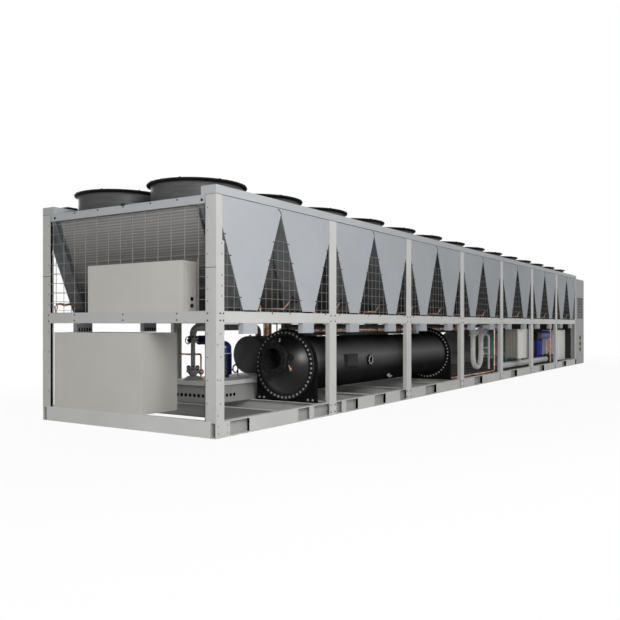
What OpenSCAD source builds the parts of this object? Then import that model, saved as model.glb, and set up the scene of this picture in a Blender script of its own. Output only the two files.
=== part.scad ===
// Air cooled water chiller: a long bolted steel frame that carries a row of V-shaped
// condenser coils with two rows of fans above, and the evaporator, compressors,
// piping and control boxes in the open lower storey.
// Millimetres, +Z up. X runs along the machine, the front end faces -X and the
// service side faces -Y. Sub-parts are drawn from the front service-side corner.

/* [Frame] */
// Length of one bay, from post to post
bay_pitch = 1900; // [1860:10:1960]
// Number of bays
bays = 7; // [7:1:9]
// Width over the outer faces of the posts
frame_w = 2280; // [2200:10:2400]
// Thickness of the folded steel sheet
sheet = 4; // [3:0.5:5]
// Width of the face of a side post
post_w = 140; // [120:2:160]
// Depth of a side post's return flanges
post_d = 50; // [40:1:55]
// Width of a corner post's face across the front end
corner_w = 118; // [100:2:130]
// Width of a corner post's face along the side, lower part
corner_side_w = 106; // [96:2:120]
// Width of a corner post's face along the side, upper part
corner_upper_w = 80; // [70:2:90]
// Height where the side face of a corner post narrows
corner_step_z = 1674; // [1600:2:1740]
// Height of the seam in a corner post's front face
corner_seam_z = 1442; // [1300:2:1560]
// Depth of the return lips of a corner post
corner_lip = 30; // [20:1:40]
// Depth of these lips beside the coils
upper_lip = 8; // [6:0.5:9]

/* [Base] */
// Height of the base channels
base_h = 140; // [130:2:160]
// Flange width of the base channels
channel_flange = 60; // [50:1:62]
// Web thickness of the base channels
channel_web = 8; // [6:0.5:12]
// Flange thickness of the base channels
channel_t = 10; // [7:0.5:14]
// Height of the cross members
bearer_h = 120; // [100:2:126]
// Flange width of the cross members
bearer_w = 74; // [60:2:90]
// Web and flange thickness of the cross members
bearer_t = 8; // [6:0.5:12]
// Thickness of the plates that close the channel mouths
closing_t = 6; // [4:0.5:10]
// Radius of the anchor holes in the lower flanges
anchor_r = 11; // [8:0.5:14]
// Distance of the outer anchor holes from the ends of the frame
anchor_x = 320; // [240:10:420]
// Distance of the front floor sheet from the front end
floor_x = 230; // [200:5:280]
// Thickness of the front floor sheet
floor_t = 6; // [4:0.5:8]

/* [Beams and deck] */
// Underside of the beams that run round the frame at half height
mid_z = 975; // [960:1:985]
// Height of these beams
mid_h = 100; // [80:1:110]
// Flange depth of these beams
mid_d = 60; // [56:1:62]
// Distance of the beam faces behind the post faces
beam_inset = 2; // [1:0.5:3]
// Width of the rails along the top edges
top_rail_w = 168; // [120:2:168]
// Height of these rails
top_rail_h = 74; // [60:1:90]
// Height of the beams across the ends, under the deck
end_beam_h = 68; // [50:1:70]
// Underside of the fan deck
deck_z = 2060; // [2056:1:2070]
// Thickness of the fan deck
deck_t = 4; // [3:0.5:6]
// Joint between neighbouring sheet panels
joint = 2; // [1:0.5:4]
// Distance from the post faces to the edges of the deck
deck_edge = 62; // [62:1:70]
// Width of the ridge beams between neighbouring coils
ridge_w = 120; // [110:2:130]

/* [Coils] */
// Height where neighbouring coils would meet
v_apex_z = 2010; // [2004:1:2020]
// Width of a V-shaped side plate at its foot
v_foot_w = 216; // [200:2:230]
// Height of the foot of a V-shaped side plate
v_foot_z = 1090; // [1086:1:1100]
// Thickness of the V-shaped side plates
v_plate_t = 3; // [2:0.5:4]
// Thickness of a coil, measured square to its face
coil_t = 70; // [50:1:75]
// Height of the top of the coils
coil_top_z = 1985; // [1970:1:1990]
// Width of the sheet casing at each end of a coil
casing_w = 180; // [120:5:220]
// Distance of the fins behind the casing faces
fin_recess = 18; // [8:1:22]
// Thickness of the tray under each pair of coils
tray_t = 5; // [3:0.5:6]
// Height of the boxes under the side beams, one below each pair of coils
foot_h = 98; // [80:1:104]
// Depth of these boxes across the machine
foot_d = 54; // [40:1:56]
// Distance of these boxes behind the post faces
foot_y = 4; // [3:0.5:6]
// Width of these boxes along the machine
foot_w = 207; // [190:1:214]
// Number of slots in the inner face of each box
foot_slots = 5; // [3:1:6]

/* [Fans] */
// Clearance between neighbouring cowls of a row
cowl_gap = 22; // [20:1:40]
// Clearance between the two rows of cowls
row_clear = 82; // [70:1:100]
// Clearance between the cowls and the top rails
rail_clear = 3; // [3:1:8]
// How far the rolled rim of a cowl flares outwards
rim_out = 39; // [36:0.5:44]
// Height of a cowl above the deck
cowl_h = 181; // [170:1:220]
// Width of the bars of a fan guard
guard_bar = 8; // [5:0.5:10]
// Number of spokes in a fan guard
guard_spokes = 6; // [4:1:8]
// Radius of a fan motor
motor_r = 75; // [60:1:85]
// Height of a fan motor
motor_h = 55; // [40:1:58]
// Radius of an impeller hub
hub_r = 95; // [88:1:110]
// Height of an impeller hub
hub_h = 100; // [80:1:105]
// Number of impeller blades
blades = 5; // [3:1:7]
// Pitch angle of the blades
blade_pitch = 26; // [15:1:30]

/* [Guards] */
// Width of a wire of the mesh guards
wire = 4; // [3:0.5:6]
// Distance between the upright wires of the side guards
side_mesh_x = 95; // [80:1:110]
// Distance between the level wires of the side guards
side_mesh_z = 92; // [80:1:100]
// Height of the lowest level wire above the beams
side_mesh_low = 33; // [25:1:45]
// Distance between the upright wires of the front guard
front_mesh_y = 160; // [120:5:200]
// Distance between the level wires of the front guard
front_mesh_z = 98; // [80:2:120]
// Top of the side guards
side_guard_top = 1752; // [1700:2:1800]
// Clearance of the front guard beside the upper box's cable holes
cable_gap = 172; // [150:2:180]

/* [Control boxes] */
// Distance of the upper box from the service side
upper_box_y = 385; // [300:5:420]
// Width of the upper box
upper_box_w = 1215; // [1000:5:1260]
// Height of the upper box
upper_box_h = 445; // [380:1:450]
// Depth of the upper box
upper_box_d = 186; // [150:1:188]
// Radius of the cable holes in the upper box
gland_r = 17; // [12:0.5:22]
// Depth of the upper box's lid
lid_d = 30; // [24:1:40]
// Distance of the lower cabinet from the far side
lower_box_gap = 180; // [160:2:200]
// Width of the lower cabinet
lower_box_w = 1214; // [1000:2:1240]
// Height of the lower cabinet
lower_box_h = 745; // [650:5:770]
// Depth of the lower cabinet
lower_box_d = 470; // [400:5:520]
// Length of the end cabinet
end_box_l = 860; // [780:5:900]
// Thickness of the end cabinet's doors
door_t = 18; // [12:1:24]
// Pitch of the bars of the ventilation grilles
vent_pitch = 65; // [50:1:80]
// Length of the cabinet in the last bay
rear_box_l = 720; // [680:5:740]
// Distance of this cabinet from the rear end of the frame
rear_box_x = 980; // [960:5:1020]
// Distance of this cabinet from the service side
rear_box_y = 200; // [180:5:220]
// Depth of this cabinet
rear_box_d = 350; // [300:5:380]
// Height of this cabinet
rear_box_h = 695; // [650:5:705]

/* [Evaporator] */
// Distance of the evaporator's front tube sheet from the front end
evap_x = 1680; // [1640:5:1700]
// Length of the evaporator between the outer faces of its tube sheets
evap_l = 3765; // [3700:5:3800]
// Distance of the evaporator's axis from the service side
evap_y = 460; // [455:1:470]
// Height of the evaporator's axis
evap_z = 530; // [524:1:540]
// Radius of the insulated shell
shell_r = 300; // [280:1:310]
// Radius of the round top of a tube sheet
sheet_r = 380; // [370:1:386]
// Thickness of a tube sheet
tube_sheet_t = 45; // [35:1:60]
// Radius of a water head's bolting ring
head_ring_r = 370; // [355:1:370]
// Radius of the domed part of a water head
head_r = 312; // [300:1:325]
// Height of the dome of a water head
head_h = 150; // [120:1:170]
// Thickness of a water head's bolting ring
head_ring_t = 30; // [24:1:40]
// Height of the nozzle's axis above the evaporator's axis
nozzle_up = 78; // [60:1:85]
// Distance of the nozzle's axis from the evaporator's axis, towards the service side
nozzle_side = 20; // [0:1:30]
// Radius of the nozzle's bore
nozzle_bore_r = 111; // [100:0.5:114]
// Wall thickness of the nozzle
nozzle_wall = 20; // [14:1:24]
// Radius of the nozzle's flange
nozzle_flange_r = 170; // [165:1:175]
// Thickness of the nozzle's flange
nozzle_flange_t = 28; // [22:1:34]
// Length of the nozzle from the bolting ring to its face
nozzle_l = 275; // [260:1:290]
// Depth of the nozzle's bore
nozzle_depth = 200; // [150:5:230]
// Diameter of the nozzle's bolt circle
nozzle_pcd = 295; // [285:1:305]
// Number of the nozzle's bolt holes
nozzle_bolts = 12; // [8:4:12]
// Radius of the nozzle's bolt holes
nozzle_hole_r = 11; // [9:0.5:12]
// Distance of the junction box from the evaporator's front tube sheet
junction_x = 740; // [700:5:780]
// Distance of the sight glass from the evaporator's front tube sheet
glass_x = 1325; // [1280:5:1360]

/* [Machinery] */
// Radius of the oil separator
separator_r = 222; // [210:1:226]
// Length of the oil separator between its domes
separator_l = 1400; // [1200:10:1500]
// Distance of the oil separator from the front end
separator_x = 2110; // [2080:10:2160]
// Distance of its axis from the platform's edge
separator_in = 400; // [390:2:410]
// Distance of the second oil separator's axis from the far side
far_separator_gap = 680; // [660:5:700]
// Height of the oil separator's axis
separator_z = 603; // [600:1:610]
// Distance of the platform from the front end
platform_x = 1030; // [1020:5:1050]
// Length of the platform
platform_l = 2700; // [2650:10:2760]
// Clearance between the evaporator and the platform
platform_gap = 60; // [50:1:80]
// Width of the platform
platform_w = 660; // [640:5:700]
// Height of the platform
platform_h = 228; // [220:1:232]
// Height of the platform's lip
platform_lip = 44; // [36:1:50]
// Distance of the platform's skirt behind its lip
skirt_inset = 30; // [20:1:40]
// Radius of the holes in the platform's skirt
platform_hole_r = 15; // [10:0.5:20]
// Distance between these holes
platform_hole_pitch = 60; // [50:1:80]
// Distance of the near compressor's axis from the service side
compressor_y = 640; // [636:1:660]
// Distance of the far compressor's axis from the service side
far_compressor_y = 1300; // [1290:5:1320]
// Height of the compressors' axes
compressor_z = 575; // [570:1:580]
// Radius of a compressor's motor barrel
compressor_r = 250; // [240:1:252]
// Length of a compressor's motor barrel
compressor_motor_l = 620; // [600:5:640]
// Length of a compressor's rotor housing
rotor_l = 480; // [460:5:500]
// Thickness of a compressor's flanges
compressor_flange_t = 45; // [38:1:50]
// Distance from a compressor's motor end to the middle of its front foot
compressor_front = 400; // [380:5:420]
// Length of the terminal box
terminal_l = 620; // [580:5:640]
// Depth of the terminal box
terminal_d = 250; // [220:1:256]
// Height of the terminal box
terminal_h = 550; // [500:5:560]
// Distance of the terminal box from the service side
terminal_y = 100; // [90:1:104]
// How far the terminal box stands before the compressor's motor end
terminal_lead = 205; // [190:5:215]
// Outer radius of the insulated suction line
suction_r = 42; // [36:1:44]
// Bend radius of the suction line's trap
trap_bend = 202; // [190:1:204]
// Distance of the trap's rising leg from the near compressor
trap_gap = 1260; // [1250:5:1280]
// Distance of the suction line's outlet from the rear end of the evaporator
suction_start = 420; // [380:5:460]
// Distance of the oil cooling line from the service side
oil_y = 300; // [296:1:304]
// Outer radius of the oil cooling line
oil_line_r = 55; // [45:1:58]
// Bend radius of the oil cooling line
oil_bend = 80; // [75:1:84]
// Distance of the start of the oil cooling line before the near compressor
oil_start = 650; // [620:5:700]
// Distance from the end of the oil cooling line to the rear end of the frame
oil_end = 1150; // [1120:5:1180]
// Distance from the blue filter on the oil cooling line to the rear end of the frame
filter_x = 2295; // [2280:5:2310]
// Distance of the copper headers from the side faces
header_inset = 112; // [100:1:120]
// Radius of the copper header along the service side
liquid_r = 20; // [16:0.5:22]
// Radius of the copper header along the far side
discharge_r = 34; // [28:0.5:36]
// Radius of the copper branches to the coils
branch_r = 11; // [8:0.5:14]
// Radius of the copper risers and of the line along the base
riser_r = 13; // [11:0.5:16]
// Height of the level run of the vent pipe
vent_run_z = 930; // [920:1:936]
// Radius of the vent pipe above its valve
vent_riser_r = 36; // [30:0.5:38]
// Distance of the vent pipe from the platform's front end
vent_riser_in = 120; // [116:1:130]
// Radius of the filter drier
drier_r = 88; // [80:1:95]
// Running clearance between round pieces that rest on each other
seat = 0.3; // [0.1:0.1:0.5]

/* [Hidden] */
$fn = 48;

// Overall sizes
frame_l = bay_pitch * bays;
total_l = frame_l + end_box_l;
deck_top = deck_z + deck_t;
top_z = deck_top;
mid_top = mid_z + mid_h;
inner_w = frame_w - 2 * (sheet + channel_flange);

// The row of V-shaped coils: two to a bay
v_pitch = bay_pitch / 2;
v_count = 2 * bays;
v_slope = (v_pitch / 2 - v_foot_w / 2) / (v_apex_z - v_foot_z);
v_angle = atan(v_slope);
coil_w = coil_t / cos(v_angle);
coil_z = mid_top + tray_t;
guard_y = sheet + v_plate_t;
casing_y = guard_y + wire + 1;
guard_lap = 15;

// The copper headers hang under the trays of the coils
liquid_y = header_inset + liquid_r + seat;
liquid_z = mid_top - liquid_r - seat;
discharge_y = frame_w - header_inset - discharge_r - seat;
discharge_z = mid_top - discharge_r - seat;

// The fans stand over the coils in two rows, as large as the bays and the width allow
rim_r = min(v_pitch - cowl_gap, frame_w / 2 - top_rail_w - rail_clear - row_clear / 2) / 2;
throat_r = rim_r - rim_out;
row_gap = 2 * rim_r + row_clear;
fan_rows = [(frame_w - row_gap) / 2, (frame_w + row_gap) / 2];
flare = rim_out - sheet;
guard_top = deck_top + cowl_h - 3;
guard_t = 5;
guard_r = rim_r - sqrt(pow(flare + sheet, 2) - pow(flare + sheet - 3 - guard_t, 2)) - seat;
blade_r = throat_r - 14;

// Machinery that follows the evaporator, the cross members and the far side. The marks
// count the cross members, half a bay apart, under the front feet of the heavy pieces
near_mark = 10;
far_mark = 5;
evap_end = evap_x + evap_l;
lower_box_y = frame_w - lower_box_gap - lower_box_w;
platform_y = evap_y + sheet_r + platform_gap;
platform_top = base_h + platform_h;
separator_y = platform_y + separator_in;
far_separator_x = (near_mark + 0.5) * v_pitch - separator_l / 2;
far_separator_y = frame_w - far_separator_gap;
vent_riser_x = platform_x + vent_riser_in;
compressor_x = near_mark * v_pitch - compressor_front;
flange_out = 28;
end_flange_in = 8;
compressor_flange_r = compressor_r + flange_out;
compressor_end_r = compressor_flange_r - end_flange_in;
rear_flange_x = compressor_motor_l + compressor_flange_t + rotor_l;
oil_z = base_h + oil_line_r + seat;
valve_x = frame_l - filter_x;
rise_x = compressor_x - trap_gap;

STEEL = [0.78, 0.78, 0.76];
PALE = [0.70, 0.73, 0.77];
BOX = [0.74, 0.73, 0.69];
DARK = [0.25, 0.26, 0.27];
BLACK = [0.07, 0.07, 0.08];
FIN = [0.42, 0.40, 0.38];
COPPER = [0.72, 0.45, 0.32];
BLUE = [0.10, 0.16, 0.48];
TEAL = [0.22, 0.42, 0.44];

// Half width of a V-shaped plate at a height
function v_half(z) = v_foot_w / 2 + v_slope * (z - v_foot_z);

// Position of a V-shaped coil along the machine
function v_x(i) = v_pitch * (i + 0.5);

function unit(v) = v / norm(v);

// Moves what is drawn from the front service-side corner to the part's own frame
module place() {
    translate([-total_l / 2, -frame_w / 2, 0]) children();
}

module both_sides() {
    children();
    translate([0, frame_w, 0]) mirror([0, 1, 0]) children();
}

module both_ends() {
    children();
    translate([frame_l, 0, 0]) mirror([1, 0, 0]) children();
}

// Extrudes an outline drawn in Y and Z along +X
module along_x(length) {
    rotate([90, 0, 90]) linear_extrude(length) children();
}

// Extrudes an outline drawn in X and Z along +Y
module along_y(length) {
    translate([0, length, 0]) rotate([90, 0, 0]) linear_extrude(length) children();
}

// Outline of a folded channel whose mouth faces away from the web at the left
module folded_channel(depth, height) {
    difference() {
        square([depth, height]);
        translate([sheet, sheet]) square([depth, height - 2 * sheet]);
    }
}

// Straight round bar between two points
module bar(from, to, r) {
    d = unit(to - from);
    tilt = acos(d[2]);
    turn = atan2(d[1], d[0]);
    translate(from) rotate([0, tilt, turn]) cylinder(r = r, h = norm(to - from));
}

// Quarter bend that turns from direction d1 to direction d2 round a corner point
module bend(corner, d1, d2, r, bend_r) {
    c = corner + bend_r * (d2 - d1);
    e3 = cross(-d2, d1);
    multmatrix([
        [-d2[0], d1[0], e3[0], c[0]],
        [-d2[1], d1[1], e3[1], c[1]],
        [-d2[2], d1[2], e3[2], c[2]],
        [0, 0, 0, 1]
    ]) rotate_extrude(angle = 90) translate([bend_r, 0]) circle(r);
}

// Round pipe along a route with a quarter bend at each corner
module pipe(route, r, bend_r) {
    last = len(route) - 1;
    for (i = [0 : last - 1]) {
        d = unit(route[i + 1] - route[i]);
        from = route[i] + (i > 0 ? bend_r : 0) * d;
        to = route[i + 1] - (i < last - 1 ? bend_r : 0) * d;
        if (norm(to - from) > 0.01) bar(from, to, r);
    }
    for (i = [1 : 1 : last - 1])
        bend(route[i], unit(route[i] - route[i - 1]), unit(route[i + 1] - route[i]), r, bend_r);
}

// Rolled base channels along both sides, with their mouths facing outwards
module base_rails() {
    color(STEEL) place() both_sides() difference() {
        translate([0, sheet, 0]) along_x(frame_l) difference() {
            square([channel_flange, base_h]);
            translate([-1, channel_t]) square([channel_flange - channel_web + 1, base_h - 2 * channel_t]);
        }
        for (x = [anchor_x, frame_l - anchor_x])
            translate([x, anchor_y(), -1]) cylinder(r = anchor_r, h = channel_t + 2);
    }
}

// Anchor holes lie in the middle of the open lower flange
function anchor_y() = sheet + closing_t + (channel_flange - channel_web - closing_t) / 2;

// End channels, a beam at every half bay, and bearers under the heavy pieces
module base_cross_members() {
    color(STEEL) place() translate([0, sheet + channel_flange, 0]) {
        both_ends() along_y(inner_w) difference() {
            square([channel_flange, base_h]);
            translate([channel_web, channel_t]) square([channel_flange, base_h - 2 * channel_t]);
        }
        bearers = concat(
            [for (i = [1 : v_count - 1]) i * v_pitch],
            [evap_x + tube_sheet_t / 2, evap_end - tube_sheet_t / 2]
        );
        for (x = bearers)
            translate([x - bearer_w / 2, 0, base_h - bearer_h]) along_y(inner_w) bearer_outline();
    }
}

module bearer_outline() {
    square([bearer_w, bearer_t]);
    translate([0, bearer_h - bearer_t]) square([bearer_w, bearer_t]);
    translate([(bearer_w - bearer_t) / 2, 0]) square([bearer_t, bearer_h]);
}

// Plates that close parts of the channel mouths, with open pockets between them
module base_closing_plates() {
    first_bay = [[0, 190], [465, 1240], [1450, 1530]];
    second_bay = [[195, 290], [565, 960], [1255, 1650]];
    other_bays = [[90, 540], [920, bay_pitch - 90]];
    color(STEEL) place() both_sides() for (bay = [0 : bays - 1]) {
        spans = bay == 0 ? first_bay : bay == 1 ? second_bay : other_bays;
        for (span = spans)
            translate([bay * bay_pitch + span[0], sheet, channel_t])
                cube([span[1] - span[0], closing_t, base_h - 2 * channel_t]);
    }
}

// Sheet between the base rails that carries the rear of the lower cabinet
module front_floor_sheet() {
    color(STEEL) place() translate([floor_x, sheet + channel_flange, base_h - floor_t])
        cube([v_pitch - bearer_w / 2 - floor_x, inner_w, floor_t]);
}

// Folded corner posts: two faces with return lips, narrower at the top of the side face
module corner_posts() {
    seam = 4;
    color(STEEL) place() both_sides() both_ends() difference() {
        union() {
            translate([0, 0, base_h])
                linear_extrude(corner_step_z - base_h) corner_outline(corner_side_w, corner_lip);
            translate([0, 0, corner_step_z])
                linear_extrude(top_z - corner_step_z) corner_outline(corner_upper_w, upper_lip);
        }
        translate([-1, -1, corner_seam_z]) cube([1 + sheet / 2, corner_w * 0.75, seam]);
    }
}

module corner_outline(side_w, lip) {
    square([side_w, sheet]);
    square([sheet, corner_w]);
    translate([side_w - sheet, 0]) square([sheet, lip]);
    translate([0, corner_w - sheet]) square([lip, sheet]);
}

// Side posts: a deep channel below the coils and a shallow one beside them, with the
// face carried down over the base rail
module side_posts() {
    color(STEEL) place() both_sides() for (i = [1 : bays - 1])
        translate([i * bay_pitch - post_w / 2, 0, 0]) {
            translate([0, 0, base_h]) linear_extrude(mid_top - base_h) post_outline(post_d);
            translate([0, 0, mid_top]) linear_extrude(top_z - mid_top) post_outline(guard_y + wire);
            cube([post_w, sheet, base_h]);
        }
}

module post_outline(depth) {
    difference() {
        square([post_w, depth]);
        translate([sheet, sheet]) square([post_w - 2 * sheet, depth]);
    }
}

// Beams at half height along both sides, from post to post
module mid_rails() {
    color(STEEL) place() both_sides() for (i = [0 : bays - 1]) {
        x0 = i == 0 ? corner_side_w : i * bay_pitch + post_w / 2;
        x1 = i == bays - 1 ? frame_l - corner_side_w : (i + 1) * bay_pitch - post_w / 2;
        translate([x0, beam_inset, mid_z]) along_x(x1 - x0) folded_channel(mid_d, mid_h);
    }
}

// Beams at half height across both ends
module end_mid_beams() {
    color(STEEL) place() both_ends() translate([beam_inset, corner_w, mid_z])
        along_y(frame_w - 2 * corner_w) folded_channel(mid_d, mid_h);
}

// Boxed rails along the top edges, closed at both ends
module top_rails() {
    color(STEEL) place() both_sides() translate([0, 0, top_z]) difference() {
        cube([frame_l, top_rail_w, top_rail_h]);
        translate([sheet, sheet, sheet])
            cube([frame_l - 2 * sheet, top_rail_w - 2 * sheet, top_rail_h - 2 * sheet]);
    }
}

// Beams across both ends under the deck, with a lip along the lower edge
module end_top_beams() {
    color(PALE) place() both_ends()
        translate([beam_inset, corner_w, deck_z - end_beam_h])
            along_y(frame_w - 2 * corner_w) folded_channel(mid_d, end_beam_h);
}

// Hat-shaped beams over the line where neighbouring coils meet
module ridge_beams() {
    ridge_h = deck_z - coil_top_z;
    color(PALE) place() for (i = [1 : v_count - 1])
        translate([i * v_pitch - ridge_w / 2, deck_edge, coil_top_z])
            along_y(frame_w - 2 * deck_edge) difference() {
                square([ridge_w, ridge_h]);
                translate([sheet, -1]) square([ridge_w - 2 * sheet, ridge_h - sheet + 1]);
            }
}

// One deck panel to a bay, with a round opening under each fan
module fan_deck() {
    color(PALE) place() for (bay = [0 : bays - 1]) difference() {
        translate([bay * bay_pitch + joint / 2, deck_edge, deck_z])
            cube([bay_pitch - joint, frame_w - 2 * deck_edge, deck_t]);
        for (i = [0, 1], y = fan_rows)
            translate([v_x(2 * bay + i), y, deck_z - 1]) cylinder(r = throat_r, h = deck_t + 2, $fn = 96);
        both_sides() both_ends()
            translate([-1, -1, deck_z - 1]) cube([corner_upper_w + 1, corner_w + 1, deck_t + 2]);
    }
}

// Puts a child over every V-shaped coil in the given rows of fans
module at_fans(rows) {
    for (i = [0 : v_count - 1], y = rows) translate([v_x(i), y, 0]) children();
}

// Bell-mouthed cowls: a foot ring, a straight throat and a rim that flares outwards
module fan_cowls() {
    foot_ring = 26;
    steps = 6;
    bend_z = cowl_h - flare - sheet;
    outer = [
        for (i = [0 : steps])
            [rim_r - flare * cos(90 * i / steps), bend_z + flare * sin(90 * i / steps)]
    ];
    inner = [for (i = [steps : -1 : 0])
        [rim_r - (flare + sheet) * cos(90 * i / steps), bend_z + (flare + sheet) * sin(90 * i / steps)]];
    outline = concat(
        [[throat_r, 0], [throat_r + foot_ring, 0], [throat_r + foot_ring, sheet], [throat_r + sheet, sheet]],
        outer, inner
    );
    color(DARK) place() at_fans(fan_rows) translate([0, 0, deck_top])
        rotate_extrude($fn = 96) polygon(outline);
}

// Flat guard of concentric rings on spokes, seated inside the flare of a cowl
module fan_guard() {
    rings = [0.36, 0.56, 0.78, 1];
    translate([0, 0, guard_top - guard_t]) linear_extrude(guard_t) {
        for (share = rings) difference() {
            circle(guard_r * share, $fn = 64);
            circle(guard_r * share - guard_bar, $fn = 64);
        }
        for (i = [0 : guard_spokes - 1]) rotate(i * 360 / guard_spokes)
            translate([0, -guard_bar / 2]) square([guard_r - guard_bar / 2, guard_bar]);
        circle(motor_r + guard_bar);
    }
}

module fan_guards_near() {
    color(BLACK) place() at_fans([fan_rows[0]]) fan_guard();
}

module fan_guards_far() {
    color(BLACK) place() at_fans([fan_rows[1]]) fan_guard();
}

// Motors hang from the middle of the guards
module fan_motors() {
    color(DARK) place() at_fans(fan_rows)
        translate([0, 0, guard_top - guard_t - motor_h]) cylinder(r = motor_r, h = motor_h);
}

// Hub with swept, pitched blades under each motor
module fan_impellers() {
    blade_t = 5;
    root = hub_r - 10;
    middle = 0.6 * blade_r;
    blade = [
        [root, -42], [middle, -78], [blade_r - 12, -82], [blade_r, 10],
        [blade_r - 14, 92], [middle, 78], [root, 48]
    ];
    color(DARK) place() at_fans(fan_rows)
        translate([0, 0, guard_top - guard_t - motor_h - hub_h]) {
            cylinder(r = hub_r, h = hub_h);
            for (i = [0 : blades - 1])
                rotate(i * 360 / blades) translate([0, 0, hub_h / 2]) rotate([blade_pitch, 0, 0])
                    translate([0, 0, -blade_t / 2]) linear_extrude(blade_t) polygon(blade);
        }
}

// Outline of one leaning coil in X and Z, measured from the middle of its V
module coil_outline(recess) {
    polygon([
        [-v_half(coil_z) + recess, coil_z], [-v_half(coil_top_z) + recess, coil_top_z],
        [-v_half(coil_top_z) + coil_w - recess, coil_top_z], [-v_half(coil_z) + coil_w - recess, coil_z]
    ]);
}

// Puts a child on both leaning sides of every V
module at_coils() {
    for (i = [0 : v_count - 1]) translate([v_x(i), 0, 0]) {
        children();
        mirror([1, 0, 0]) children();
    }
}

// Finned blocks between the casings
module coil_fins() {
    color(FIN) place() at_coils() translate([0, casing_y + casing_w, 0])
        along_y(frame_w - 2 * (casing_y + casing_w)) coil_outline(fin_recess);
}

// Sheet casings at both ends of every coil
module coil_casings() {
    color(PALE) place() both_sides() at_coils() translate([0, casing_y, 0])
        along_y(casing_w) coil_outline(0);
}

// Trays that carry each pair of coils, resting on the side beams
module coil_trays() {
    color(PALE) place() for (i = [0 : v_count - 1])
        translate([v_x(i) - v_foot_w / 2, casing_y, mid_top])
            cube([v_foot_w, frame_w - 2 * casing_y, tray_t]);
}

// Boxes that hang from the side beams, with a row of slots in the inner face
module coil_feet() {
    slot_w = 20;
    slot_h = 36;
    slot_depth = 12;
    slot_pitch = foot_w / (foot_slots + 1);
    color(PALE) place() both_sides() for (i = [0 : v_count - 1])
        translate([v_x(i) - foot_w / 2, foot_y, mid_z - foot_h]) difference() {
            cube([foot_w, foot_d, foot_h]);
            for (s = [1 : foot_slots])
                translate([s * slot_pitch - slot_w / 2, foot_d - slot_depth, 14])
                    cube([slot_w, slot_depth + 1, slot_h]);
        }
}

// V-shaped plates that close the ends of the coils, cut back at the posts
module v_plates() {
    half = v_pitch / 2;
    translate([0, sheet, 0]) for (i = [0 : v_count - 1]) {
        left = i == 0 ? corner_upper_w : v_x(i) - half + (i % 2 == 0 ? post_w : joint) / 2;
        right = i == v_count - 1 ? frame_l - corner_upper_w
            : v_x(i) + half - (i % 2 == 1 ? post_w : joint) / 2;
        along_y(v_plate_t) intersection() {
            translate([v_x(i), 0]) polygon([
                [-v_foot_w / 2, v_foot_z], [v_foot_w / 2, v_foot_z], [half, v_apex_z],
                [half, top_z], [-half, top_z], [-half, v_apex_z]
            ]);
            translate([left, v_foot_z]) square([right - left, top_z - v_foot_z]);
        }
    }
}

module v_plates_near() {
    color(PALE) place() v_plates();
}

module v_plates_far() {
    color(PALE) place() translate([0, frame_w, 0]) mirror([0, 1, 0]) v_plates();
}

// Half width of a side guard at a height, lapping behind the plates
function guard_half(z) = v_pitch / 2 - v_half(z) + guard_lap;

// Welded mesh in the space between two V-shaped plates, from one edge to the slope.
// inner is the distance of its upright edge from the middle of the space, and edge_w the
// width of the bar along this edge.
module half_mesh(inner, edge_w) {
    slope_w = 1.2 * wire;
    top = min(side_guard_top, v_apex_z - (inner - guard_lap + 4 * wire) / v_slope);
    edge = [[inner, mid_top], [guard_half(mid_top), mid_top], [guard_half(top), top], [inner, top]];
    from = edge_w > 0 ? inner + edge_w : inner - 1;
    hole = [
        [from, mid_top + wire], [guard_half(mid_top + wire) - slope_w, mid_top + wire],
        [guard_half(top - wire) - slope_w, top - wire], [from, top - wire]
    ];
    difference() {
        polygon(edge);
        polygon(hole);
    }
    intersection() {
        polygon(edge);
        mesh_wires(inner, mid_top + side_mesh_low - side_mesh_z, v_pitch / 2, top, side_mesh_x, side_mesh_z);
    }
}

// Crossing wires over a rectangle
module mesh_wires(x0, z0, x1, z1, pitch_x, pitch_z) {
    for (x = [x0 + pitch_x / 2 : pitch_x : x1]) translate([x - wire / 2, z0]) square([wire, z1 - z0]);
    for (z = [z0 + pitch_z : pitch_z : z1]) translate([x0, z - wire / 2]) square([x1 - x0, wire]);
}

// Guards of the spaces from one mark to another, counted in half bays
module side_guards(first, last) {
    translate([0, guard_y, 0]) for (k = [first : last]) translate([k * v_pitch, 0, 0]) along_y(wire) {
        inner = k == 0 || k == v_count ? corner_side_w : k % 2 == 0 ? post_w / 2 : 0;
        edge_w = inner > 0 ? wire : 0;
        if (k < v_count) half_mesh(inner, edge_w);
        if (k > 0) mirror([1, 0]) half_mesh(inner, edge_w);
    }
}

module side_guards_near_front() {
    color(STEEL) place() side_guards(0, bays - 1);
}

module side_guards_near_rear() {
    color(STEEL) place() side_guards(bays, v_count);
}

module side_guards_far_front() {
    color(STEEL) place() translate([0, frame_w, 0]) mirror([0, 1, 0]) side_guards(0, bays - 1);
}

module side_guards_far_rear() {
    color(STEEL) place() translate([0, frame_w, 0]) mirror([0, 1, 0]) side_guards(bays, v_count);
}

// Wide mesh over the first coil, cut round the upper control box and its cables
module front_guard() {
    top = deck_z - end_beam_h;
    open_y = max(upper_box_y - cable_gap, corner_w + 2 * wire);
    open_w = upper_box_y + upper_box_w - open_y;
    color(STEEL) place() translate([beam_inset, 0, 0]) along_x(wire) difference() {
        union() {
            difference() {
                translate([corner_w, mid_top]) square([frame_w - 2 * corner_w, top - mid_top]);
                translate([corner_w + wire, mid_top + wire])
                    square([frame_w - 2 * (corner_w + wire), top - mid_top - 2 * wire]);
            }
            mesh_wires(corner_w, mid_top, frame_w - corner_w, top, front_mesh_y, front_mesh_z);
            translate([open_y - wire, mid_top]) square([open_w + 2 * wire, upper_box_h + wire]);
        }
        translate([open_y, mid_top - 1]) square([open_w, upper_box_h + 1]);
    }
}

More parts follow.
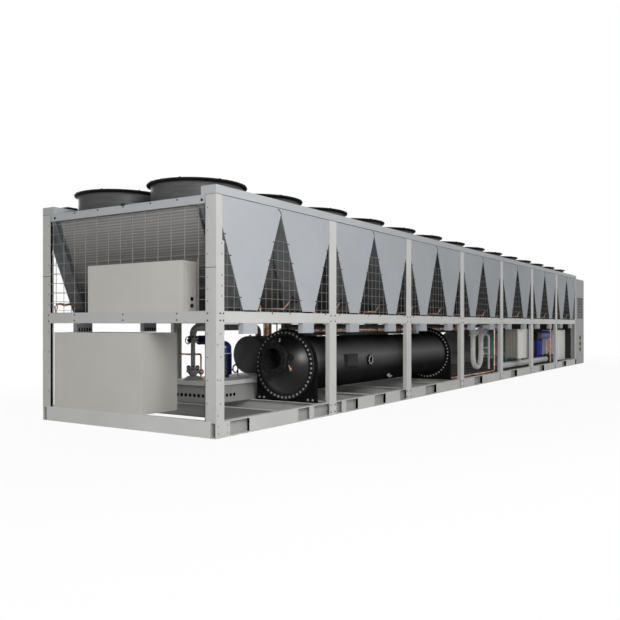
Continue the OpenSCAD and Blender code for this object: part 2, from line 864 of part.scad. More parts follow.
// Control box on the front beam, with a groove behind its lid and two cable holes in its
// service-side face
module upper_control_box() {
    gland_x = 123;
    gland_depth = 20;
    lid_groove = 3;
    color(BOX) place() translate([0, upper_box_y, mid_top]) difference() {
        cube([upper_box_d, upper_box_w, upper_box_h]);
        for (z = [52, 112])
            translate([gland_x, -1, z]) rotate([-90, 0, 0]) cylinder(r = gland_r, h = gland_depth + 1);
        difference() {
            translate([lid_d, -1, -1]) cube([lid_groove, upper_box_w + 2, upper_box_h + 2]);
            translate([lid_d - 1, lid_groove, -2])
                cube([lid_groove + 2, upper_box_w - 2 * lid_groove, upper_box_h + 2 - lid_groove]);
        }
    }
}

// Cabinet that stands on the base at the front end
module lower_control_cabinet() {
    color(BOX) place() translate([0, lower_box_y, base_h]) cube([lower_box_d, lower_box_w, lower_box_h]);
}

// Opening for a ventilation grille in a side of the end cabinet
vent_x = 120;
vent_z = 1100;
vent_w = 620;
vent_h = 520;
vent_depth = 14;

// Full-height cabinet across the rear end
module end_cabinet() {
    groove = 4;
    groove_z = [210, 877];
    cable_r = 45;
    cable_x = 430;
    cable_z = [355, 495, 635];
    cable_depth = 40;
    color(BOX) place() translate([frame_l, 0, 0]) difference() {
        cube([end_box_l - door_t, frame_w, top_z]);
        both_sides() {
            translate([vent_x, -1, vent_z]) cube([vent_w, vent_depth + 1, vent_h]);
            for (z = groove_z) translate([-1, -1, z]) cube([end_box_l, groove + 1, groove]);
        }
        for (z = cable_z)
            translate([cable_x, -1, z]) rotate([-90, 0, 0]) cylinder(r = cable_r, h = cable_depth + 1);
    }
}

// Grilles of crossing bars in the sides of the end cabinet
module end_cabinet_grilles() {
    bar_w = 14;
    color(DARK) place() translate([frame_l, 0, 0]) both_sides()
        translate([vent_x, 0, vent_z]) along_y(vent_depth) {
            difference() {
                square([vent_w, vent_h]);
                translate([bar_w, bar_w]) square([vent_w - 2 * bar_w, vent_h - 2 * bar_w]);
            }
            for (x = [vent_pitch : vent_pitch : vent_w - bar_w])
                translate([x - bar_w / 2, 0]) square([bar_w, vent_h]);
            for (z = [vent_pitch : vent_pitch : vent_h - bar_w])
                translate([0, z - bar_w / 2]) square([vent_w, bar_w]);
        }
}

// Door leaves on the rear face of the end cabinet
module end_cabinet_doors() {
    leaves = 3;
    margin = 40;
    gap = 6;
    door_z = 215;
    leaf_w = (frame_w - 2 * margin - (leaves - 1) * gap) / leaves;
    color(BOX) place() for (i = [0 : leaves - 1])
        translate([total_l - door_t, margin + i * (leaf_w + gap), door_z])
            cube([door_t, leaf_w, top_z - door_z - margin]);
}

// Cabinet in the last bay
module rear_bay_cabinet() {
    color(BOX) place() translate([frame_l - rear_box_x, rear_box_y, base_h])
        cube([rear_box_l, rear_box_d, rear_box_h]);
}

// Folded platform: a top with a lip, on a set-back skirt with rows of holes in its front
// and service sides
module equipment_platform() {
    side_holes = 6;
    hole_z = 74;
    skirt_l = platform_l - 2 * skirt_inset;
    skirt_w = platform_w - 2 * skirt_inset;
    color(STEEL) place() translate([platform_x, platform_y, base_h]) difference() {
        union() {
            translate([0, 0, platform_h - platform_lip]) open_below(platform_l, platform_w, platform_lip);
            translate([skirt_inset, skirt_inset, 0]) open_below(skirt_l, skirt_w, platform_h);
        }
        for (i = [1 : side_holes])
            translate([i * platform_hole_pitch, skirt_inset - 1, hole_z])
                rotate([-90, 0, 0]) cylinder(r = platform_hole_r, h = sheet + 2);
        for (y = [2 * platform_hole_pitch : platform_hole_pitch : platform_w - 2 * platform_hole_pitch])
            translate([skirt_inset - 1, y, hole_z])
                rotate([0, 90, 0]) cylinder(r = platform_hole_r, h = sheet + 2);
    }
}

// Sheet box with an open underside
module open_below(length, width, height) {
    difference() {
        cube([length, width, height]);
        translate([sheet, sheet, -1]) cube([length - 2 * sheet, width - 2 * sheet, height - sheet + 1]);
    }
}

// Moves a child to the evaporator's axis at a distance from the front end
module on_evaporator(x) {
    translate([x, evap_y, evap_z]) children();
}

// Insulated shell between the tube sheets
module evaporator_shell() {
    color(BLACK) place() on_evaporator(evap_x + tube_sheet_t) rotate([0, 90, 0])
        cylinder(r = shell_r, h = evap_l - 2 * tube_sheet_t, $fn = 96);
}

// Tube sheets with a round top, which stand on the base as the evaporator's feet
module evaporator_tube_sheets() {
    color(BLACK) place() for (x = [evap_x, evap_end - tube_sheet_t])
        translate([x, 0, 0]) along_x(tube_sheet_t) {
            translate([evap_y, evap_z]) circle(sheet_r, $fn = 96);
            translate([evap_y - sheet_r, base_h]) square([2 * sheet_r, evap_z - base_h]);
        }
}

// Domed water head with a bolting ring and a flanged nozzle, drawn upwards from the ring
module water_head() {
    dome_r = (head_r * head_r + head_h * head_h) / (2 * head_h);
    bolt_r = nozzle_pcd / 2;
    difference() {
        union() {
            rotate_extrude($fn = 96) {
                square([head_ring_r, head_ring_t]);
                translate([0, head_ring_t]) intersection() {
                    translate([0, head_h - dome_r]) circle(dome_r, $fn = 96);
                    square([head_r, head_h]);
                }
            }
            translate([nozzle_up, nozzle_side, head_ring_t]) {
                cylinder(r = nozzle_bore_r + nozzle_wall, h = nozzle_l - head_ring_t);
                translate([0, 0, nozzle_l - head_ring_t - nozzle_flange_t])
                    cylinder(r = nozzle_flange_r, h = nozzle_flange_t);
            }
        }
        translate([nozzle_up, nozzle_side, 0]) {
            translate([0, 0, nozzle_l - nozzle_depth]) cylinder(r = nozzle_bore_r, h = nozzle_depth + 1);
            for (i = [0 : nozzle_bolts - 1]) rotate((i + 0.5) * 360 / nozzle_bolts)
                translate([bolt_r, 0, nozzle_l - nozzle_flange_t - 1])
                    cylinder(r = nozzle_hole_r, h = nozzle_flange_t + 2);
        }
    }
}

module evaporator_front_head() {
    color(BLACK) place() on_evaporator(evap_x) rotate([0, -90, 0]) mirror([0, 1, 0]) water_head();
}

module evaporator_rear_head() {
    color(BLACK) place() on_evaporator(evap_end) mirror([1, 0, 0]) rotate([0, -90, 0])
        mirror([0, 1, 0]) water_head();
}

// Cuts a child to the round of the evaporator's shell
module seated_on_shell() {
    difference() {
        children();
        on_evaporator(evap_x) rotate([0, 90, 0]) cylinder(r = shell_r + seat, h = evap_l, $fn = 96);
    }
}

// Box on the service side of the shell
module shell_junction_box() {
    box = [235, 90, 134];
    drop = 40;
    color(BLACK) place() seated_on_shell()
        translate([evap_x + junction_x, evap_y - shell_r - box[1] / 2, evap_z - drop]) cube(box);
}

// Flanged sight glass on the service side of the shell
module sight_glass() {
    flange_r = 67;
    neck_r = 50;
    flange_t = 16;
    out = 30;
    rise = 10;
    color(BLACK) place() seated_on_shell()
        translate([evap_x + glass_x, evap_y - shell_r - out, evap_z + rise]) rotate([-90, 0, 0]) {
            cylinder(r = flange_r, h = flange_t);
            cylinder(r = neck_r, h = 2 * out);
        }
}

// Where the two oil separators start: one over the platform and one over the base
separators = [[separator_x, separator_y], [far_separator_x, far_separator_y]];

// Round vessels with shallow domes, with a boss on top and one beside it
module oil_separator() {
    dome_h = 50;
    dome_r = (separator_r * separator_r + dome_h * dome_h) / (2 * dome_h);
    boss_r = 14;
    boss_h = 24;
    boss_x = 40;
    boss_in = 10;
    boss_turns = [0, -62];
    color(BLACK) place() for (at = separators) translate([at[0], at[1], separator_z]) {
        rotate([0, 90, 0]) rotate_extrude($fn = 72) {
            square([separator_r, separator_l]);
            translate([0, separator_l]) dome_outline(separator_r, dome_r, dome_h);
            mirror([0, 1]) dome_outline(separator_r, dome_r, dome_h);
        }
        for (turn = boss_turns)
            rotate([turn, 0, 0]) translate([boss_x, 0, separator_r - boss_in])
                cylinder(r = boss_r, h = boss_h);
    }
}

// Half outline of a shallow dome, rising from the X axis
module dome_outline(edge_r, dome_r, dome_h) {
    intersection() {
        translate([0, dome_h - dome_r]) circle(dome_r, $fn = 72);
        square([edge_r, dome_h]);
    }
}

// Cuts a child to the round of an oil separator
module seated_on_separator(at) {
    difference() {
        children();
        translate([at[0], at[1], separator_z]) rotate([0, 90, 0])
            cylinder(r = separator_r + seat, h = separator_l, $fn = 72);
    }
}

// Saddles under the oil separators, on the platform and on two cross members
module separator_saddles() {
    saddle_w = 80;
    saddle_in = 290;
    half_w = separator_r * 0.82;
    saddle_top = separator_z - separator_r * 0.45;
    places = [
        [separator_x + saddle_in, separators[0], platform_top],
        [separator_x + separator_l - saddle_in, separators[0], platform_top],
        [near_mark * v_pitch, separators[1], base_h],
        [(near_mark + 1) * v_pitch, separators[1], base_h]
    ];
    color(BLACK) place() for (p = places) seated_on_separator(p[1])
        translate([p[0] - saddle_w / 2, p[1][1] - half_w, p[2]])
            cube([saddle_w, 2 * half_w, saddle_top - p[2]]);
}

// Semi-hermetic screw compressor along +X on two feet, drawn from its motor end
module compressor(y) {
    rotor_r = compressor_r - 18;
    cover_r = compressor_r - 36;
    cover_l = 150;
    lobe_shift = 70;
    lobe_r = rotor_r - 25;
    cover_taper = 20;
    edge = 30;
    foot_l = 100;
    foot_w = 260;
    foot_in = 60;
    foot_h = compressor_z - base_h - foot_in;
    flange_x = compressor_motor_l + compressor_flange_t;
    cover_x = rear_flange_x + compressor_flange_t;
    outline = [
        [0, 0], [compressor_r - edge, 0], [compressor_r, edge], [compressor_r, compressor_motor_l],
        [compressor_flange_r, compressor_motor_l], [compressor_flange_r, flange_x],
        [rotor_r, flange_x], [rotor_r, rear_flange_x], [compressor_end_r, rear_flange_x],
        [compressor_end_r, cover_x], [cover_r, cover_x],
        [cover_r - cover_taper, cover_x + cover_l], [0, cover_x + cover_l]
    ];
    translate([0, y, compressor_z]) rotate([0, 90, 0]) {
        rotate_extrude($fn = 72) polygon(outline);
        translate([0, lobe_shift, flange_x]) cylinder(r = lobe_r, h = rotor_l);
    }
    for (x = [compressor_front, compressor_front + v_pitch])
        translate([x - foot_l / 2, y - foot_w / 2, base_h]) cube([foot_l, foot_w, foot_h]);
}

module compressors() {
    color(TEAL) place() {
        translate([compressor_x, 0, 0]) compressor(compressor_y);
        translate([far_mark * v_pitch - compressor_front, 0, 0]) compressor(far_compressor_y);
    }
}

// Terminal box bracketed to the near compressor's motor barrel
module terminal_box() {
    box_z = 320;
    bracket_x = 120;
    bracket_l = 120;
    bracket_w = 120;
    bracket_h = 100;
    color(BOX) place() translate([compressor_x, 0, 0]) difference() {
        union() {
            translate([-terminal_lead, terminal_y, box_z]) cube([terminal_l, terminal_d, terminal_h]);
            translate([bracket_x, terminal_y + terminal_d, compressor_z - bracket_h / 2])
                cube([bracket_l, bracket_w, bracket_h]);
        }
        translate([0, compressor_y, compressor_z]) rotate([0, 90, 0])
            cylinder(r = compressor_r + seat, h = compressor_motor_l, $fn = 72);
    }
}

// Insulated suction line: from the shell, along under the coils and down to the trap, which
// turns it up again to a second run and down into the near compressor
module suction_line() {
    trap_x = rise_x - 2 * trap_bend;
    under_coils = 25;
    over_base = 25;
    run_z = mid_top - suction_r - under_coils;
    run_bend = 2 * suction_r;
    leg_z = (run_z + base_h) / 2;
    trap_z = base_h + suction_r + over_base;
    feed_in = 250;
    under_beams = 3;
    feed_x = compressor_x + feed_in;
    feed_z = mid_z - suction_r - under_beams;
    start_x = evap_end - suction_start;
    color(PALE) place() {
        pipe([
            [start_x, evap_y, evap_z + shell_r + seat], [start_x, evap_y, run_z],
            [trap_x, evap_y, run_z], [trap_x, evap_y, leg_z]
        ], suction_r, run_bend);
        pipe([
            [trap_x, evap_y, leg_z], [trap_x, evap_y, trap_z],
            [rise_x, evap_y, trap_z], [rise_x, evap_y, leg_z]
        ], suction_r, trap_bend);
        pipe([
            [rise_x, evap_y, leg_z], [rise_x, evap_y, feed_z],
            [(rise_x + feed_x) / 2, evap_y, feed_z]
        ], suction_r, run_bend);
        pipe([
            [(rise_x + feed_x) / 2, evap_y, feed_z], [feed_x, evap_y, feed_z],
            [feed_x, compressor_y, feed_z], [feed_x, compressor_y, compressor_z + compressor_r + seat]
        ], suction_r, run_bend);
    }
}

// Small upright pipe before the trap's rising leg, bent over into it and held by two rungs
module service_pipe() {
    pipe_r = 18;
    rung_r = 9;
    out = 105;
    leg_y = evap_y - suction_r - seat;
    pipe_y = leg_y - out;
    low = base_h + 30;
    top = compressor_z + 215;
    bend_r = 60;
    rungs = [compressor_z - 135, compressor_z - 30];
    color(PALE) place() {
        pipe([[rise_x, pipe_y, low], [rise_x, pipe_y, top], [rise_x, leg_y, top]], pipe_r, bend_r);
        for (z = rungs) bar([rise_x, pipe_y, z], [rise_x, leg_y, z], rung_r);
    }
}

// Oil cooling line along the base to a flanged end, with a branch from the near compressor
module oil_line() {
    branch_in = 520;
    branch_x = compressor_x + branch_in;
    side_r = oil_line_r - 15;
    to_x = frame_l - oil_end;
    end_z = oil_z + 150;
    flange_t = 24;
    color(PALE) place() {
        pipe([
            [compressor_x - oil_start, oil_y, oil_z], [to_x, oil_y, oil_z], [to_x, oil_y, end_z]
        ], oil_line_r, oil_bend);
        pipe([
            [branch_x, oil_y, oil_z], [branch_x, oil_y, compressor_z],
            [branch_x, compressor_y - compressor_r - seat, compressor_z]
        ], side_r, oil_bend);
        translate([to_x, oil_y, end_z - flange_t]) cylinder(r = oil_line_r * 1.5, h = flange_t);
    }
}

// Length and radius of the valve body on the oil cooling line, and its distance before the bend
valve_body_l = 360;
valve_body_r = oil_line_r + 40;
valve_body_gap = 40;
valve_body_x = frame_l - oil_end - oil_bend - valve_body_gap - valve_body_l;

// Round valve body over the oil cooling line, open below where the line rests on the base
module line_valve() {
    rim_w = 40;
    clamp_r = valve_body_r + 15;
    open_x = oil_line_r - 5;
    color(DARK) place() translate([valve_body_x, oil_y, oil_z])
        rotate([0, 90, 0]) difference() {
            union() {
                cylinder(r = valve_body_r, h = valve_body_l);
                cylinder(r = clamp_r, h = rim_w);
                translate([0, 0, valve_body_l - rim_w]) cylinder(r = clamp_r, h = rim_w);
            }
            translate([0, 0, -1]) cylinder(r = oil_line_r + seat, h = valve_body_l + 2);
            translate([open_x, -clamp_r, -1]) cube([clamp_r, 2 * clamp_r, valve_body_l + 2]);
        }
}

// Copper headers along both sides, hanging under the trays
module liquid_headers() {
    margin = v_pitch / 2 - foot_w / 2;
    color(COPPER) place() {
        bar([margin, liquid_y, liquid_z], [frame_l - margin, liquid_y, liquid_z], liquid_r);
        bar([margin, discharge_y, discharge_z], [frame_l - margin, discharge_y, discharge_z], discharge_r);
    }
}

// Height and ends of the branches in the space between two coils, from its middle
branch_y = 46;
branch_z = mid_top + 35;
valve_z = branch_z + 85;
valve_r = 20;
valve_from = 215;
valve_to = v_pitch / 2 - v_half(valve_z + valve_r) - seat;

// Copper branches from the headers: one to the coil on the left, and one that comes forward
// and rises to the valve on the right
module coil_pipes() {
    left_x = -160;
    left_z = branch_z + 30;
    right_x = -30;
    turn_x = 95;
    bend_r = 25;
    out = branch_y - liquid_y;
    left_h = left_z - mid_top;
    right_h = branch_z - mid_top;
    reach = v_half(left_z + branch_r) - v_pitch / 2 + seat;
    valve_end = [valve_from - 7, out, valve_z - mid_top - 4];
    color(COPPER) place() for (k = [1 : v_count - 1]) both_headers(k * v_pitch) {
        pipe([[left_x, 0, 0], [left_x, 0, left_h], [reach, 0, left_h]], branch_r, bend_r);
        pipe([
            [right_x, 0, 0], [right_x, 0, right_h], [right_x, out, right_h], [turn_x, out, right_h]
        ], branch_r, bend_r);
        translate([turn_x, out, right_h]) sphere(branch_r);
        bar([turn_x, out, right_h], valve_end, branch_r);
    }
}

// Puts a child on top of the header of each side at a distance along the machine
module both_headers(x) {
    translate([x, liquid_y, mid_top - seat]) children();
    translate([x, discharge_y, mid_top - seat]) mirror([0, 1, 0]) children();
}

// Black shut-off valves where the branches enter the coils
module coil_valves() {
    stem_r = 13;
    stem_h = 44;
    stem_x = (valve_from + valve_to) / 2;
    color(BLACK) place() for (k = [1 : v_count - 1]) both_headers(k * v_pitch)
        translate([0, branch_y - liquid_y, valve_z - mid_top]) {
            translate([valve_from, 0, 0]) rotate([0, 90, 0]) cylinder(r = valve_r, h = valve_to - valve_from);
            translate([stem_x, 0, 0]) cylinder(r = stem_r, h = stem_h);
        }
}

// Height, radius and length of the blue drive, and the ends of its motor from the filter
drive_z = 735;
drive_r = 88;
drive_l = 810;
drive_motor_r = 96;
motor_from = -335;
motor_to = -40;

// Copper line along the base from the evaporator, risers to the header, and a short pipe from
// the valve body on the oil cooling line to the blue drive
module copper_risers() {
    bend_r = 60;
    z = base_h + riser_r + seat;
    top = liquid_z - liquid_r - seat;
    leg_in = 70;
    leg_x = valve_body_x + leg_in;
    line_x = 8 * v_pitch;
    far_x = 12 * v_pitch;
    color(COPPER) place() {
        pipe([
            [evap_end + seat, liquid_y, z], [line_x, liquid_y, z], [line_x, liquid_y, top]
        ], riser_r, bend_r);
        bar([far_x, liquid_y, base_h], [far_x, liquid_y, top], riser_r);
        bar([leg_x, oil_y, oil_z + valve_body_r + seat], [leg_x, oil_y, drive_z - drive_r - seat], riser_r);
    }
}

// Copper lines from the oil separators to the far header
module discharge_line() {
    outlet_x = 367;
    r = 38;
    run_drop = 8;
    run_z = discharge_z - run_drop;
    bend_r = 70;
    color(COPPER) place() for (at = separators) translate([at[0] + outlet_x, 0, 0]) pipe([
        [0, at[1], separator_z + separator_r + seat], [0, at[1], run_z],
        [0, discharge_y - discharge_r - seat, run_z]
    ], r, bend_r);
}

// Heights of the vent pipe's valve and branch above the platform
vent_valve_h = 425;
vent_flange_r = 55;
vent_pipe_r = 24;
vent_branch_h = 273;

// Grey vent pipe: a domed foot, a flanged cone and a flanged valve, bent over into the
// oil separator
module vent_riser() {
    foot_r = 112;
    foot_h = 42;
    cone_h = 40;
    big_flange_r = 70;
    big_flange_t = 25;
    neck_r = 45;
    neck_h = 10;
    valve_half = 27;
    valve_neck = 8;
    body_r = 40;
    bend_r = 75;
    cone_top = foot_h + cone_h;
    flange_top = cone_top + 2 * big_flange_t + neck_h;
    outline = [
        [0, 0], [foot_r, 0], [foot_r, 8], [60, foot_h], [30, foot_h], [60, cone_top],
        [big_flange_r, cone_top], [big_flange_r, cone_top + big_flange_t],
        [neck_r, cone_top + big_flange_t], [neck_r, cone_top + big_flange_t + neck_h],
        [big_flange_r, cone_top + big_flange_t + neck_h], [big_flange_r, flange_top],
        [vent_pipe_r, flange_top], [vent_pipe_r, vent_valve_h - valve_half],
        [vent_flange_r, vent_valve_h - valve_half], [vent_flange_r, vent_valve_h - valve_neck],
        [body_r, vent_valve_h - valve_neck], [body_r, vent_valve_h + valve_neck],
        [vent_flange_r, vent_valve_h + valve_neck], [vent_flange_r, vent_valve_h + valve_half],
        [0, vent_valve_h + valve_half]
    ];
    end_in = 200;
    end_x = separator_x + end_in;
    color(PALE) place() {
        translate([vent_riser_x, separator_y, platform_top]) rotate_extrude() polygon(outline);
        pipe([
            [vent_riser_x, separator_y, platform_top + vent_valve_h + valve_half],
            [vent_riser_x, separator_y, vent_run_z], [end_x, separator_y, vent_run_z],
            [end_x, separator_y, separator_z + separator_r + seat]
        ], vent_riser_r, bend_r);
    }
}

// Thin copper branches of the vent pipe: one to a round trap on the platform and one
// towards the far side
module riser_branch() {
    tube_r = 10;
    bend_r = 25;
    out = 126;
    back = 190;
    ball_r = 32;
    ball_h = 80;
    color(COPPER) place() translate([vent_riser_x, separator_y, platform_top]) {
        pipe([
            [vent_pipe_r + seat, 0, vent_branch_h], [out, 0, vent_branch_h], [out, 0, ball_h]
        ], tube_r, bend_r);
        translate([out, 0, ball_h]) sphere(ball_r);
        translate([out, 0, seat]) cylinder(r = tube_r, h = ball_h);
        bar([0, vent_pipe_r + seat, vent_branch_h], [0, back, vent_branch_h], tube_r);
    }
}

// Actuator beside the vent pipe's valve
module valve_actuator() {
    neck_r = 26;
    neck_l = 40;
    body_r = 50;
    body_l = 110;
    color(BLUE) place()
        translate([vent_riser_x + vent_flange_r + seat, separator_y, platform_top + vent_valve_h])
        rotate([0, 90, 0]) {
            cylinder(r = neck_r, h = neck_l + 1);
            translate([0, 0, neck_l]) cylinder(r = body_r, h = body_l);
        }
}

// Upright blue drier on a small foot, with a bead round its middle and a domed cap
module filter_drier() {
    drier_x = platform_x + 636;
    foot_r = 58;
    foot_h = 31;
    body_h = 232;
    bead_h = 10;
    bead_r = drier_r + 4;
    cap_r = drier_r - 4;
    cap_side = 58;
    cap_h = 78;
    dome_r = (cap_r * cap_r + cap_h * cap_h) / (2 * cap_h);
    bead_z = foot_h + body_h;
    color(BLUE) place() translate([drier_x, separator_y, platform_top]) rotate_extrude($fn = 72) {
        square([foot_r, foot_h]);
        translate([0, foot_h]) square([drier_r, body_h]);
        translate([0, bead_z]) square([bead_r, bead_h]);
        translate([0, bead_z + bead_h]) square([cap_r, cap_side]);
        translate([0, bead_z + bead_h + cap_side]) dome_outline(cap_r, dome_r, cap_h);
    }
}

// Blue filter on the oil cooling line, which carries the blue drive
module motor_valve() {
    body_r = 78;
    body_h = 300;
    body_gap = 60;
    stem_r = 34;
    stem_in = 10;
    body_z = oil_z + oil_line_r + body_gap;
    color(BLUE) place() translate([valve_x, oil_y, 0]) difference() {
        union() {
            translate([0, 0, oil_z]) cylinder(r = stem_r, h = drive_z - drive_r + stem_in - oil_z);
            translate([0, 0, body_z]) cylinder(r = body_r, h = body_h);
            translate([motor_to + seat, 0, drive_z]) rotate([0, 90, 0]) cylinder(r = drive_r, h = drive_l);
        }
        translate([-2 * body_r, 0, oil_z]) rotate([0, 90, 0]) cylinder(r = oil_line_r + seat, h = 4 * body_r);
    }
}

// Black motor on the end of the drive
module valve_motor() {
    color(BLACK) place() translate([valve_x + motor_from, oil_y, drive_z]) rotate([0, 90, 0])
        cylinder(r = drive_motor_r, h = motor_to - motor_from);
}

base_rails();
base_cross_members();
base_closing_plates();
front_floor_sheet();
corner_posts();
side_posts();
mid_rails();
end_mid_beams();
top_rails();
end_top_beams();
ridge_beams();
fan_deck();
fan_cowls();
fan_guards_near();
fan_guards_far();
fan_motors();
fan_impellers();
coil_fins();
coil_casings();
coil_trays();
coil_feet();
v_plates_near();
v_plates_far();
side_guards_near_front();
side_guards_near_rear();
side_guards_far_front();
side_guards_far_rear();
front_guard();
upper_control_box();
lower_control_cabinet();
end_cabinet();
end_cabinet_grilles();
end_cabinet_doors();
rear_bay_cabinet();
equipment_platform();
evaporator_shell();
evaporator_tube_sheets();
evaporator_front_head();
evaporator_rear_head();
shell_junction_box();
sight_glass();
oil_separator();
separator_saddles();
compressors();
terminal_box();
suction_line();
service_pipe();
oil_line();
line_valve();
liquid_headers();
coil_pipes();
coil_valves();
copper_risers();
discharge_line();
vent_riser();
riser_branch();
valve_actuator();
filter_drier();
motor_valve();
valve_motor();
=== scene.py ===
import math
from itertools import product

import bmesh
import bpy
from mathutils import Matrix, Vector


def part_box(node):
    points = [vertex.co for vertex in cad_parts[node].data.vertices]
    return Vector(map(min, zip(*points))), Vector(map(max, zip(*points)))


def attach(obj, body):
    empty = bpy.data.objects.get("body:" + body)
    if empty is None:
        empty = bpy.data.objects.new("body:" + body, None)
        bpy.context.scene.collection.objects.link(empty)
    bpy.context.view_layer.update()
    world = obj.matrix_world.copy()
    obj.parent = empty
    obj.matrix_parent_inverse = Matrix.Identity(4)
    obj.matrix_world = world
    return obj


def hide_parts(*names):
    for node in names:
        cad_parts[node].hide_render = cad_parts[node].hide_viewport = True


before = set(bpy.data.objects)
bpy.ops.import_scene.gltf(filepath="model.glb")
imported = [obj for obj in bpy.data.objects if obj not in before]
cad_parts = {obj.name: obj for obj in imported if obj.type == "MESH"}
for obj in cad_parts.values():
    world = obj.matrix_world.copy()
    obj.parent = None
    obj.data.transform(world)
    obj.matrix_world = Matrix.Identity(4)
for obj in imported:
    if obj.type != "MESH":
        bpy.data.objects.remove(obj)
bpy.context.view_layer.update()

# Directions along the machine, across it and up
ALONG = Vector((1, 0, 0))
ACROSS = Vector((0, 1, 0))
UP = Vector((0, 0, 1))

# The photograph's camera, in pixels of the square picture and in metres
PICTURE = 620
FOCAL = 708.7
HORIZON = 324.6
SENSOR = 36.0
CAMERA_AT = Vector((-11.638, -5.014, 0.961))
CAMERA_AHEAD = Vector((0.8404, 0.5420, 0.0))
VIEW_REACH = 300

# Main lines of the frame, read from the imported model
posts_low, posts_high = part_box("corner_posts")
FRONT, REAR = posts_low.x, posts_high.x
NEAR, FAR = posts_low.y, posts_high.y
BOTH_SIDES = ((NEAR, -ACROSS), (FAR, ACROSS))
BOTH_ENDS = ((FRONT, 1), (REAR, -1))
BAYS = 7
FANS = 2 * BAYS
BAY = (REAR - FRONT) / BAYS
HALF_BAY = BAY / 2
BASE_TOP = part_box("base_rails")[1].z
BEAM_LOW, BEAM_TOP = (corner.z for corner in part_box("mid_rails"))
RAIL_LOW, RAIL_TOP = (corner.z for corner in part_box("top_rails"))
COWL_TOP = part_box("fan_cowls")[1].z
V_FOOT_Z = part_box("v_plates_near")[0].z
PLATE_FACES = ((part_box("v_plates_near")[0].y, -ACROSS), (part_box("v_plates_far")[1].y, ACROSS))
PLATFORM_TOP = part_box("equipment_platform")[1].z
DRIER_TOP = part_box("filter_drier")[1].z
TERMINAL_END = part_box("terminal_box")[0].x

# Sizes inside the nodes, which their boxes don't give
V_FOOT_HALF = 0.108
V_APEX_Z = 2.010
POST_HALF = 0.070
CORNER_W = 0.118
END_CHANNEL = 0.070
WEB_IN = 0.052
PLATFORM_LIP = 0.044
DRIER_CAP = 0.136
DRIER_BEAD = 0.010

# The evaporator's axis and the faces of its tube sheets
shell_low, shell_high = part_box("evaporator_shell")
SHELL_AXIS = (shell_low + shell_high) / 2
SHELL_R = (shell_high.z - shell_low.z) / 2
sheets_low, sheets_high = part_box("evaporator_tube_sheets")

# Hexagon heads: radius to the corners and height
SMALL_BOLT = (0.0045, 0.004)
POST_BOLT = (0.0060, 0.005)
HEAD_BOLT = (0.0085, 0.010)

# Bolts up the front faces of the two front corner posts
POST_BOLT_IN = 0.095
POST_BOLTS_Y = (NEAR + POST_BOLT_IN, FAR - POST_BOLT_IN)

# Faces that meet at less than this angle, in degrees, are shaded as one
SMOOTH_BELOW = 35

# The range in which most of a noise texture's values lie
NOISE_RANGE = (0.3, 0.7)


def v_half(z):
    """Half width of a V-shaped plate at a height."""
    slope = (HALF_BAY / 2 - V_FOOT_HALF) / (V_APEX_Z - V_FOOT_Z)
    return V_FOOT_HALF + slope * (z - V_FOOT_Z)


def fan_x(i):
    """Place along the machine of a fan, which is also the middle of its V-shaped plates."""
    return FRONT + (i + 0.5) * HALF_BAY


def across_frame(axis):
    """Two directions square to an axis."""
    side = UP if abs(axis.z) < 0.9 else ALONG
    first = axis.cross(side).normalized()
    return first, axis.cross(first).normalized()


def circle_points(count, turn=0.0):
    """Cosine and sine of evenly spread angles."""
    for i in range(count):
        angle = turn + 2 * math.pi * i / count
        yield math.cos(angle), math.sin(angle)


def rod(radius, length):
    """Profile of a plain round rod for Builder.lathe."""
    return [(0, 0), (radius, 0), (radius, length), (0, length)]


